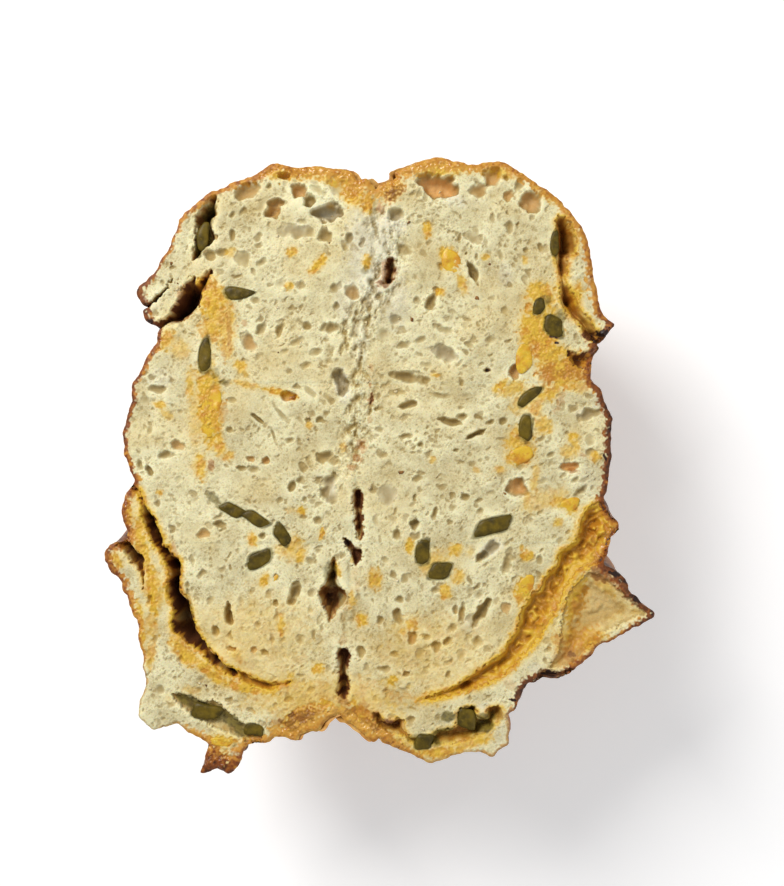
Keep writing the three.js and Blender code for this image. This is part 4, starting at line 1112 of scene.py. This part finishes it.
def lattice_noise(x, y, z, size, seed):
    """Smooth noise in space, in blotches of that size in metres."""
    table = np.random.default_rng(seed).uniform(-1, 1, (64, 64, 64))
    places = np.stack([x, y, z]) / size + 1000
    cell = np.floor(places).astype(int)
    part = places - cell
    part = part * part * (3 - 2 * part)
    total = 0
    for corner in np.ndindex(2, 2, 2):
        share = 1
        for k in range(3):
            share = share * (part[k] if corner[k] else 1 - part[k])
        i, j, k = ((cell[n] + corner[n]) % 64 for n in range(3))
        total = total + share * table[i, j, k]
    return total


def crust_shell(name, rim, belly, side):
    """One half's crust: a dome hung from the rim, its flat base, and the bed for the crumb."""
    back = np.linspace(rim[-1], rim[0], BASE_STATIONS + 1)[1:-1]
    edge, plain = np.vstack([rim, back]), np.vstack([belly, back])
    count = len(edge)
    at_base = np.arange(count) >= len(rim)
    inner_x = edge[:, 0] + 0.3 * MM * sample(inward_x, *edge.T)
    inner_y = edge[:, 1] + 0.3 * MM * sample(inward_y, *edge.T)
    top = CUT - sample(HEIGHT, inner_x, inner_y) + 0.4 * MM
    from_notch = np.minimum(
        np.linalg.norm(edge - rim[0], axis=1), np.linalg.norm(edge - rim[-1], axis=1))
    top = np.where(at_base, 0.8 * MM + HINGE_DEPTH * ramp(from_notch, 1 * MM, 16 * MM), top)

    piece, column, row = flat_lattice(name, count, CRUST_ROWS)
    down = 1 - np.arange(CRUST_ROWS + 1) / CRUST_ROWS
    down = np.sin(down ** 1.2 * math.asin(REST_FLAT)) / REST_FLAT
    depth = top + (REST_FLAT * LOAF_RADIUS - top) * down[:, None]
    fade = ramp(depth, 0, EAR_REACH)
    run_x = edge[:, 0] + (plain[:, 0] - edge[:, 0]) * fade
    run_y = edge[:, 1] + (plain[:, 1] - edge[:, 1]) * fade
    x, y, z = domed(run_x, run_y, depth, side, overlap_at(depth))
    shell = np.dstack([x, y, z])

    def outward_of(shell):
        """Which way is out, for each place of the shell."""
        ahead = np.roll(shell, -1, axis=1) - np.roll(shell, 1, axis=1)
        up = np.gradient(shell, axis=0)
        out = np.cross(ahead, up)
        return out / (np.linalg.norm(out, axis=2)[..., None] + 1e-12)

    below = depth - top
    settle = ramp(below, 0, 4 * MM) * (1 - ramp(depth, *SMOOTH_DEPTHS))
    plainness = np.where(at_base, 0.35, 1.0)
    broad = lattice_noise(x, y, z, 26 * MM, 3) + 0.5 * lattice_noise(x, y, z, 12 * MM, 4)
    bumps = lattice_noise(x, y, z, 5 * MM, 5) + 0.6 * lattice_noise(x, y, z, 2.6 * MM, 6)
    patches = ramp(lattice_noise(x, y, z, 30 * MM, 9), -0.2, 0.3)
    blister = np.clip(lattice_noise(x, y, z, 4.6 * MM, 7) - 0.25, 0, 1) ** 0.6 * patches
    swell = (0.8 * broad + 0.26 * bumps + 1.25 * blister) * MM
    shell = shell + outward_of(shell) * (swell * settle * plainness)[..., None]

    write_places(piece, shell[row, column % count])
    outer = len(piece.data.vertices)
    torn_from_dome = np.linalg.norm(edge - plain, axis=1)
    rim_tone = sample(crust_tone, *edge.T)
    smoothing = np.exp(-(np.fft.rfftfreq(count) * 14) ** 2)
    rim_tone = np.fft.irfft(np.fft.rfft(rim_tone) * smoothing, count)
    ear = ramp(torn_from_dome, 1.5 * MM, 8 * MM) * (1 - fade)
    for tint, field in {
            "near_rim": np.exp(-below / (7 * MM)) * ~at_base,
            "rim_tone": np.broadcast_to(rim_tone, depth.shape),
            "ear": ear * ~at_base, "blister": np.clip(blister * 2, 0, 1) * settle,
            "base": np.broadcast_to(at_base * 1.0, depth.shape),
            "low": ramp(depth, *LOW_DEPTHS)}.items():
        write_tint(piece, tint, field[row, column % count])
    bpy.ops.object.mode_set(mode="EDIT")
    bpy.ops.mesh.select_all(action="SELECT")
    bpy.ops.mesh.remove_doubles(threshold=1e-6)
    bpy.ops.object.mode_set(mode="OBJECT")

    smooth_edge = edge.copy()
    for _ in range(6):
        smooth_edge = (smooth_edge + np.roll(smooth_edge, 1, 0) + np.roll(smooth_edge, -1, 0)) / 3
    ahead = np.roll(smooth_edge, -1, axis=0) - np.roll(smooth_edge, 1, axis=0)
    inwards = np.column_stack([-ahead[:, 1], ahead[:, 0]])
    inwards /= np.linalg.norm(inwards, axis=1)[:, None]

    def nearest_station(places):
        """Which station each place of the rim belongs to."""
        gap = (places[:, None, 0] - shell[-1, :, 0]) ** 2 + (
            places[:, None, 1] - shell[-1, :, 1]) ** 2
        return gap.argmin(1)

    stations = {}

    def lip(places):
        """The crust's cut edge, below the crumb's own edge."""
        low = places[:, 2] < CUT / 2
        station = nearest_station(places)
        stations["kept"] = station[~low]
        moved = places.copy()
        moved[~low, :2] += CRUST_THICKNESS * inwards[station[~low]]
        moved[~low, 2] -= 0.5 * MM
        moved[low, :2] += (places[low, :2].mean(0) - places[low, :2]) * 0.3
        moved[low, 2] = 0
        return moved

    def bed(places):
        """The crust's inner wall, down to the crumb's bed, and the spot it rests on."""
        low = places[:, 2] < CUT / 2
        station = stations["kept"]
        fading = ramp(CRUST_FLOOR, 0, EAR_REACH)
        start = smooth_edge + (plain - smooth_edge) * fading
        x, y, z = domed(
            start[station, 0] + 2 * CRUST_THICKNESS * inwards[station, 0],
            start[station, 1] + 2 * CRUST_THICKNESS * inwards[station, 1],
            np.full(len(station), CRUST_FLOOR), side, 0.0)
        moved = places.copy()
        moved[~low] = np.column_stack([x, y, z])
        moved[low, :2] += (places[low, :2].mean(0) - places[low, :2]) * 0.5
        return moved

    extend_edge(piece, lip)
    extend_edge(piece, bed)
    close_edge(piece)
    piece.data.shade_smooth()
    bpy.ops.object.mode_set(mode="OBJECT")
    bpy.ops.object.select_all(action="DESELECT")
    piece.select_set(True)
    bpy.ops.object.shade_smooth_by_angle(angle=math.radians(60))
    return piece


crust_left = crust_shell("crust_left", left_rim, left_belly, -1)
crust_right = crust_shell("crust_right", right_rim, right_belly, 1)

# ---------------------------------------------------------------- chilli and cheese pieces


def morsel(name, where, deep, proud, boxy, taper, bend, skew, lumpy, seed):
    """A chunk sunk in the cut face: its top all but flush, its underside in the crumb.

    It is as deep as that share of its mean radius, and its top stands that far proud.
    """
    bpy.ops.mesh.primitive_uv_sphere_add(segments=56, ring_count=30, radius=1)
    piece = bpy.context.object
    piece.name = name
    u, v, w = read_places(piece).T
    across, down, half_width, half_height, turn = where
    half_width, half_height = half_width * PIXEL, half_height * PIXEL
    out = np.hypot(u, v)
    angle = np.arctan2(v, u)
    square = (np.abs(np.cos(angle)) ** boxy + np.abs(np.sin(angle)) ** boxy) ** (-1 / boxy)
    lumps = np.random.default_rng(seed)
    phases = lumps.uniform(0, 2 * math.pi, 4)
    wobble = 1 + sum(
        0.035 / k ** 0.5 * np.sin((k + 2) * angle + phase)
        for k, phase in enumerate(phases, start=1))
    u, v = u * square * wobble, v * square * wobble
    long_way = half_width > half_height
    along, aside = (u, v) if long_way else (v, u)
    aside = aside * (1 - taper * (along + 1) / 2) + bend * (along ** 2 - 0.35)
    along = along + skew * aside
    u, v = (along, aside) if long_way else (aside, along)
    depth = (half_width + half_height) / 2 * deep
    x, y = u * half_width, v * half_height
    top = w > 0
    z = np.where(top, proud * (1 - out ** 5) - 0.4 * MM * out ** 10, w * depth - 0.4 * MM)
    rough = lattice_noise(x + seed, y, z, 2.4 * MM, 8)
    z = z + np.where(top, lumpy * rough * (1 - out ** 2), 0)
    turned = math.radians(turn)
    (centre_x, centre_y), = to_metres([(across, down)])
    write_places(piece, np.column_stack([
        centre_x + x * math.cos(turned) - y * math.sin(turned),
        centre_y + x * math.sin(turned) + y * math.cos(turned), CUT + z]))
    write_tint(piece, "skin", ramp(out + 0.25 * rough, 0.62, 0.95))
    piece.data.shade_smooth()
    return piece


chillies = [
    morsel(f"jalapeno_piece_{i:02d}", where, 1.0, 0.45 * MM, *CHILLI_SHAPES.get(i, PLAIN_CHILLI),
           lumpy=0.28 * MM, seed=100 + i)
    for i, where in enumerate(JALAPENOS, start=1)]
cheeses = [
    morsel(f"cheese_piece_{i:02d}", where, 0.6, 0.25 * MM, boxy=2.2, taper=0.1, bend=0.0,
           skew=0.1, lumpy=0.5 * MM, seed=200 + i)
    for i, where in enumerate(CHEESES, start=1)]

# ---------------------------------------------------------------- loose crumbs and flakes
CRUMB_COUNT, CRUMB_SIZE = 100, 0.36 * MM
FLAKE_COUNT, FLAKE_SIZE = 12, 0.5 * MM


def scattered(name, count, size, flat, seed):
    """Small rough bits lying on the cut faces, most of them where it is torn, as one mesh."""
    bpy.ops.mesh.primitive_ico_sphere_add(subdivisions=2, radius=1)
    seedling = bpy.context.object
    ball = read_places(seedling)
    faces = np.empty(len(seedling.data.loops), int)
    seedling.data.loops.foreach_get("vertex_index", faces)
    faces = faces.reshape(-1, 3)
    draws = np.random.default_rng(seed)
    chance = (0.2 + 0.8 * torn) * (crust_band < 0.1) * (cheese < 0.1) * in_loaf
    chance = (chance * (pocket_floor > -0.3 * MM)).ravel()
    spots = draws.choice(len(chance), count, p=chance / chance.sum())
    places, corners = [], []
    for i, spot in enumerate(spots):
        x, y, z = FIELD_X.flat[spot], FIELD_Y.flat[spot], HEIGHT.flat[spot]
        radius = size * draws.uniform(0.5, 1.5) ** 1.5
        dents = 1 + 0.35 * draws.normal(size=len(ball))
        bit = ball * dents[:, None] * radius * [1, draws.uniform(0.5, 1), flat]
        turned = draws.uniform(0, 2 * math.pi)
        bit = bit @ np.array([
            [math.cos(turned), math.sin(turned), 0], [-math.sin(turned), math.cos(turned), 0],
            [0, 0, 1]])
        places.append(bit + [x, y, z + 0.5 * flat * radius])
        corners.append(faces + i * len(ball))
    mesh = bpy.data.meshes.new(name)
    mesh.from_pydata(np.vstack(places).tolist(), [], np.vstack(corners).tolist())
    piece = bpy.data.objects.new(name, mesh)
    bpy.context.scene.collection.objects.link(piece)
    bpy.data.objects.remove(seedling)
    mesh.shade_smooth()
    return piece


loose_crumbs = scattered("loose_crumbs", CRUMB_COUNT, CRUMB_SIZE, flat=0.6, seed=61)
crust_flakes = scattered("crust_flakes", FLAKE_COUNT, FLAKE_SIZE, flat=0.35, seed=62)

# ---------------------------------------------------------------- finishes


def colour(*screen):
    """A colour named by its red, green and blue on a screen, 0 to 255."""
    steps = [value / 255 for value in screen]
    return [s / 12.92 if s <= 0.04045 else ((s + 0.055) / 1.055) ** 2.4 for s in steps] + [1]


class Wire:
    """A socket of a finish's nodes; arithmetic on it adds Math nodes."""

    def __init__(self, finish, socket):
        self.finish, self.socket = finish, socket

    def math(self, operation, *values):
        """A Math node on these values."""
        return self.finish.node("ShaderNodeMath", {"operation": operation},
                                dict(enumerate(values)))

    def __add__(self, other):
        return self.math("ADD", self, other)

    def __sub__(self, other):
        return self.math("SUBTRACT", self, other)

    def __rsub__(self, other):
        return self.math("SUBTRACT", other, self)

    def __mul__(self, other):
        return self.math("MULTIPLY", self, other)

    __radd__, __rmul__ = __add__, __mul__

    def rise(self, start, end):
        """0 below start, 1 above end."""
        return self.finish.node(
            "ShaderNodeMapRange", {"interpolation_type": "SMOOTHSTEP"},
            {"Value": self, "From Min": start, "From Max": end})


class Finish:
    """A material: its nodes, and the shader that they feed."""

    def __init__(self, name, **fixed):
        self.material = bpy.data.materials.new(name)
        self.material.use_nodes = True
        self.tree = self.material.node_tree
        self.shader = self.tree.nodes["Principled BSDF"]
        self.join(self.shader, {key.replace("_", " "): value for key, value in fixed.items()})
        self.point = self.node("ShaderNodeTexCoord", output="Object")

    def join(self, node, sockets):
        """Links a node's sockets to wires, or sets them."""
        for where, value in sockets.items():
            if isinstance(value, Wire):
                self.tree.links.new(value.socket, node.inputs[where])
            else:
                node.inputs[where].default_value = value

    def node(self, kind, settings=None, sockets=None, output=0):
        """A node of any kind: settings first, then its sockets' values or wires."""
        node = self.tree.nodes.new(kind)
        for setting, value in (settings or {}).items():
            if setting == "stops":
                while len(node.color_ramp.elements) < len(value):
                    node.color_ramp.elements.new(0.5)
                for element, (place, shade) in zip(node.color_ramp.elements, value):
                    element.position, element.color = place, shade
            else:
                setattr(node, setting, value)
        self.join(node, sockets or {})
        return Wire(self, node.outputs[output])

    def tint(self, name):
        """A number kept on the piece's vertices."""
        return self.node("ShaderNodeAttribute", {"attribute_name": name}, output="Fac")

    def noise(self, size, detail=3.0, roughness=0.55):
        """Noise in blotches of that size in metres, 0 to 1."""
        return self.node("ShaderNodeTexNoise", None, {
            "Vector": self.point, "Scale": 1 / size, "Detail": detail, "Roughness": roughness})

    def wandering(self, amount, size):
        """The place on the piece, moved about by noise, so that what is drawn there isn't round."""
        noise = self.node("ShaderNodeTexNoise", None, {
            "Vector": self.point, "Scale": 1 / size, "Detail": 2.0}, output="Color")
        return self.node("ShaderNodeVectorMath", {"operation": "MULTIPLY_ADD"}, {
            0: noise, 1: (amount, amount, amount), 2: self.point})

    def cells(self, size, where=None):
        """Distance from the nearest of scattered points, for pores and blisters."""
        return self.node("ShaderNodeTexVoronoi", None, {
            "Vector": where or self.point, "Scale": 1 / size})

    def mix(self, first, second, share):
        """Two colours mixed, all second where share is 1."""
        return self.node("ShaderNodeMix", {"data_type": "RGBA"},
                         {0: share, 6: first, 7: second}, output=2)

    def shades(self, value, *stops):
        """A colour for each value between the stops."""
        return self.node("ShaderNodeValToRGB", {"stops": stops}, {"Fac": value})

    def finish(self, paint, roughness, height, bump=1.0, reach=0.3 * MM):
        """Feeds the shader."""
        normal = self.node("ShaderNodeBump", None, {
            "Height": height, "Strength": bump, "Distance": reach})
        self.join(self.shader, {
            "Base Color": paint, "Roughness": roughness, "Normal": normal})
        return self.material


def melted_cheese(finish):
    """Melted cheddar: yellow, going orange where it is thick, with pale painted highlights flecked
    over it.
    """
    thick = finish.noise(5 * MM, 4).rise(0.42, 0.68)
    cheese_glints = finish.noise(1.5 * MM, 3).rise(0.55, 0.75)
    yellow = finish.mix(colour(220, 180, 46), colour(200, 136, 24), thick)
    # Pale flecks of painted highlight.
    return finish.mix(yellow, colour(238, 208, 96), cheese_glints * 0.5)


def crumb_finish():
    """The cut face: pale crumb with painted light on its ridges and painted shade in its pits,
    pores and bubbles, then cheese, toast, chilli, browned edge and char over it.
    """
    f = Finish("bread_crumb", Subsurface_Weight=0.3, Subsurface_Scale=0.002,
               Subsurface_Radius=(1.0, 0.72, 0.4), IOR=1.4)
    fine, speckle = f.noise(0.6 * MM, 3), f.noise(2.2 * MM, 4)
    cavity, painted_hollow_shade, bubble = f.tint("cavity"), f.tint("hollow"), f.tint("bubble")
    rough = 1 - bubble
    place = f.wandering(1.4 * MM, 1.6 * MM)
    cheesy = f.tint("cheese")
    patchy = (cheesy + (speckle - 0.5) * 0.5 + (fine - 0.5) * 0.25).rise(0.1, 0.85)
    open_here = f.noise(6 * MM, 3).rise(0.3, 0.6) * rough * (1 - patchy)
    # Painted shade: tiny dark dots for pores too small for the relief.
    pinhole_shade = f.cells(0.95 * MM, place).rise(0.5, 0.27) * open_here
    # Painted light and shade: lighter on the relief's ridges and rises, darker in its pits and
    # broad hollows, with random tone over it.
    light = (cavity * 0.22 * rough + f.tint("basin") * 0.5 + 0.6
             + (fine - 0.5) * 0.5 * rough + (f.noise(15 * MM, 4) - 0.5) * 0.9).rise(0.0, 1.0)
    paint = f.mix(colour(162, 138, 80), colour(239, 233, 190), light)
    paint = f.mix(paint, colour(218, 194, 130), f.noise(24 * MM, 3).rise(0.45, 0.65) * 0.35)
    # Painted shade: dark dots for the tiniest pores, and darker in pores and bubbles the deeper
    # they go.
    paint = f.mix(paint, colour(158, 134, 84), pinhole_shade * 0.3)
    paint = f.mix(paint, colour(160, 136, 84), f.tint("pores") * 0.36)
    paint = f.mix(paint, colour(146, 120, 70), painted_hollow_shade * 0.52)
    # The grey crumb takes the same painted light and shade.
    paint = f.mix(paint, f.mix(colour(150, 138, 108), colour(228, 224, 204), light),
                  f.tint("grey") * 0.7)
    paint = f.mix(paint, colour(222, 168, 98), f.tint("amber") * 0.8)
    # The cheese halo takes the same painted light and shade.
    paint = f.mix(paint, f.mix(colour(184, 146, 62), colour(236, 210, 132), light),
                  f.tint("halo").rise(0.03, 0.5) * 0.7)
    # Cheese painted darker orange in the pits of the relief: painted shade.
    shaded_cheese = f.mix(colour(178, 118, 22), melted_cheese(f), (cavity * 0.5 + 0.75).rise(0, 1))
    paint = f.mix(paint, shaded_cheese, patchy * 0.92)
    browned = f.tint("toast")
    patchy_brown = (browned + (speckle - 0.5) * 0.3).rise(0.08, 0.95)
    paint = f.mix(paint, f.shades(
        patchy_brown, (0.0, colour(208, 150, 56)), (0.5, colour(172, 104, 30)),
        (1.0, colour(98, 54, 20))), patchy_brown)
    paint = f.mix(paint, f.mix(colour(118, 104, 34), colour(74, 64, 18), speckle.rise(0.4, 0.6)),
                  (f.tint("green") + (speckle - 0.5) * 0.3).rise(0.15, 0.8) * 0.85)
    band, darkness = f.tint("crust_band"), f.tint("crust_tone")
    crust = f.shades(
        darkness + (speckle - 0.5) * 0.5, (0.0, colour(214, 166, 74)),
        (0.35, colour(194, 134, 48)), (0.6, colour(138, 76, 28)), (1.0, colour(50, 25, 14)))
    edge = (band + (speckle - 0.5) * 0.25 + (fine - 0.5) * 0.15).rise(0.12, 0.8)
    paint = f.mix(paint, crust, edge)
    burnt = (f.tint("char") + (speckle - 0.5) * 0.25).rise(0.25, 0.85)
    paint = f.mix(paint, f.shades(
        burnt, (0.0, colour(186, 132, 62)), (0.45, colour(118, 66, 28)),
        (1.0, colour(42, 22, 13))), burnt)
    shine = 0.8 - patchy * 0.36 - edge * 0.25 - bubble * 0.15
    height = (fine * 0.55 * rough + speckle * 0.3 - pinhole_shade * 0.7) * (1 - edge * 0.7 - patchy * 0.25)
    return f.finish(paint, shine, height, 0.38, 0.35 * MM)


def crust_finish():
    """The baked crust outside: golden to chestnut, blistered, darkest on the ears."""
    f = Finish("baked_crust", Coat_Weight=0.06, Coat_Roughness=0.4, IOR=1.45)
    broad, middle, fine = f.noise(34 * MM, 4), f.noise(9 * MM, 5), f.noise(1.6 * MM, 4)
    grainy = f.noise(0.5 * MM, 3)
    dark = broad * 1.1 + middle * 0.7 + fine * 0.35 - 0.62
    dark = dark + f.tint("ear") * 0.1 + f.tint("near_rim") * (
        f.tint("rim_tone") * 0.8 + middle * 0.5 - 0.6)
    dark = dark + f.tint("low") * 0.1 + f.tint("blister") * 0.16
    paint = f.shades(
        dark, (0.10, colour(226, 182, 106)), (0.30, colour(204, 148, 68)),
        (0.50, colour(168, 106, 42)), (0.70, colour(118, 66, 28)), (0.95, colour(60, 32, 17)))
    floury = (f.noise(14 * MM, 6, 0.7).rise(0.56, 0.72)) * grainy.rise(0.4, 0.7)
    paint = f.mix(paint, colour(232, 214, 182), floury * (0.25 + f.tint("base") * 0.3))
    spots = f.cells(2.4 * MM).rise(0.16, 0.05) * f.noise(11 * MM).rise(0.5, 0.62)
    paint = f.mix(paint, colour(84, 42, 20), spots * 0.6)
    shine = 0.5 + floury * 0.25 + (fine - 0.5) * 0.3
    height = fine * 0.9 + grainy * 0.35 + f.cells(1.7 * MM) * 0.5 + middle
    return f.finish(paint, shine, height, 0.6, 0.5 * MM)


def chilli_finish():
    """Pickled jalapeno: olive, glossy, darker at the skin."""
    f = Finish("jalapeno_flesh", Subsurface_Weight=0.15, Subsurface_Scale=0.0015,
               Subsurface_Radius=(0.7, 1.0, 0.3), Coat_Weight=0.05, Coat_Roughness=0.25, IOR=1.3)
    mottled = f.noise(4.5 * MM, 3)
    paint = f.mix(colour(112, 92, 16), colour(60, 49, 5), mottled.rise(0.25, 0.75))
    paint = f.mix(paint, colour(128, 106, 36), f.noise(1.3 * MM, 3).rise(0.56, 0.75) * 0.5)
    paint = f.mix(paint, colour(66, 58, 12), f.tint("skin") * 0.3)
    return f.finish(paint, 0.38 + mottled * 0.2, f.noise(1.2 * MM, 3), 0.35, 0.3 * MM)


def cheese_finish():
    """The larger cheese lumps."""
    f = Finish("melted_cheddar", Subsurface_Weight=0.2, Subsurface_Scale=0.002,
               Subsurface_Radius=(1.0, 0.6, 0.2), Coat_Weight=0.15, Coat_Roughness=0.3, IOR=1.42)
    paint = f.mix(melted_cheese(f), colour(196, 124, 38), f.noise(2 * MM, 4).rise(0.52, 0.7) * 0.6)
    return f.finish(paint, 0.42, f.noise(1.1 * MM, 4), 0.5, 0.4 * MM)


def crumb_bit_finish(name, pale, dark):
    """Loose bits: mottled between two colours."""
    f = Finish(name, IOR=1.4)
    paint = f.mix(pale, dark, f.noise(1.5 * MM, 3).rise(0.35, 0.65))
    return f.finish(paint, 0.8, f.noise(0.3 * MM, 2), 0.4, 0.1 * MM)


def numbered(kind, pieces):
    """The CAD nodes that a row of pieces stands for, in order."""
    return [f"{kind}_{i:02d}" for i in range(1, len(pieces) + 1)]


def belongs(pieces, material, nodes):
    """Gives pieces their finish, what they stand for and what they ride on."""
    for piece, node in zip(pieces, nodes):
        piece.data.materials.clear()
        piece.data.materials.append(material)
        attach(piece, "root")
        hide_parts(node)


belongs(crumb_tiles, crumb_finish(), ["loaf"] * len(crumb_tiles))
belongs([crust_left, crust_right], crust_finish(), ["loaf", "loaf"])
belongs(chillies, chilli_finish(), numbered("jalapeno", chillies))
belongs(cheeses, cheese_finish(), numbered("cheese", cheeses))
belongs([loose_crumbs], crumb_bit_finish(
    "loose_crumb", colour(232, 222, 186), colour(206, 184, 132)), ["loaf"])
belongs([crust_flakes], crumb_bit_finish(
    "crust_flake", colour(158, 110, 56), colour(96, 62, 32)), ["loaf"])

# ---------------------------------------------------------------- floor, light and camera
VIEW_HEIGHT = 886 * PIXEL       # what the photograph takes in, top to bottom
VIEW_CENTRE = (392, 443)        # its middle, in its own pixels
LENS, SENSOR = 50, 36           # mm
FLOOR_SIZE = 6                  # metres
bpy.ops.mesh.primitive_plane_add(size=FLOOR_SIZE)
floor = bpy.context.object
floor.name = "floor"
pale = Finish("pale_floor", Specular_IOR_Level=0.2, Emission_Color=colour(255, 255, 255),
              Emission_Strength=0.22)
floor_paint = pale.mix(colour(250, 250, 250), colour(244, 244, 244), pale.noise(0.4, 2))
floor.data.materials.append(pale.finish(floor_paint, 0.9, pale.noise(2 * MM, 2), 0.02))


def lamp(name, place, aim, size, power, tint=(1, 1, 1)):
    """A soft square lamp."""
    light = bpy.data.lights.new(name, "AREA")
    light.size, light.energy, light.color = size, power, tint
    holder = bpy.data.objects.new(name, light)
    holder.location = place
    holder.rotation_euler = (Vector(aim) - Vector(place)).to_track_quat("-Z", "Y").to_euler()
    bpy.context.scene.collection.objects.link(holder)


lamp("key", (-0.6, 0.7, 1.05), (0, 0, 0.1), 0.5, 14.5, (1, 0.98, 0.95))
lamp("fill", (0.9, -0.5, 0.9), (0, 0, 0.1), 1.0, 3, (0.98, 0.98, 1))
world = bpy.data.worlds.new("studio")
world.use_nodes = True
world.node_tree.nodes["Background"].inputs["Color"].default_value = (0.97, 0.98, 1, 1)
world.node_tree.nodes["Background"].inputs["Strength"].default_value = 0.4
bpy.context.scene.world = world
bpy.context.scene.view_settings.view_transform = "Standard"

camera = bpy.data.cameras.new("camera")
camera.lens, camera.sensor_width = LENS, SENSOR
viewer = bpy.data.objects.new("camera", camera)
(view_x, view_y), = to_metres([VIEW_CENTRE])
viewer.location = (view_x, view_y, CUT + VIEW_HEIGHT * LENS / SENSOR)
bpy.context.scene.collection.objects.link(viewer)
bpy.context.scene.camera = viewer
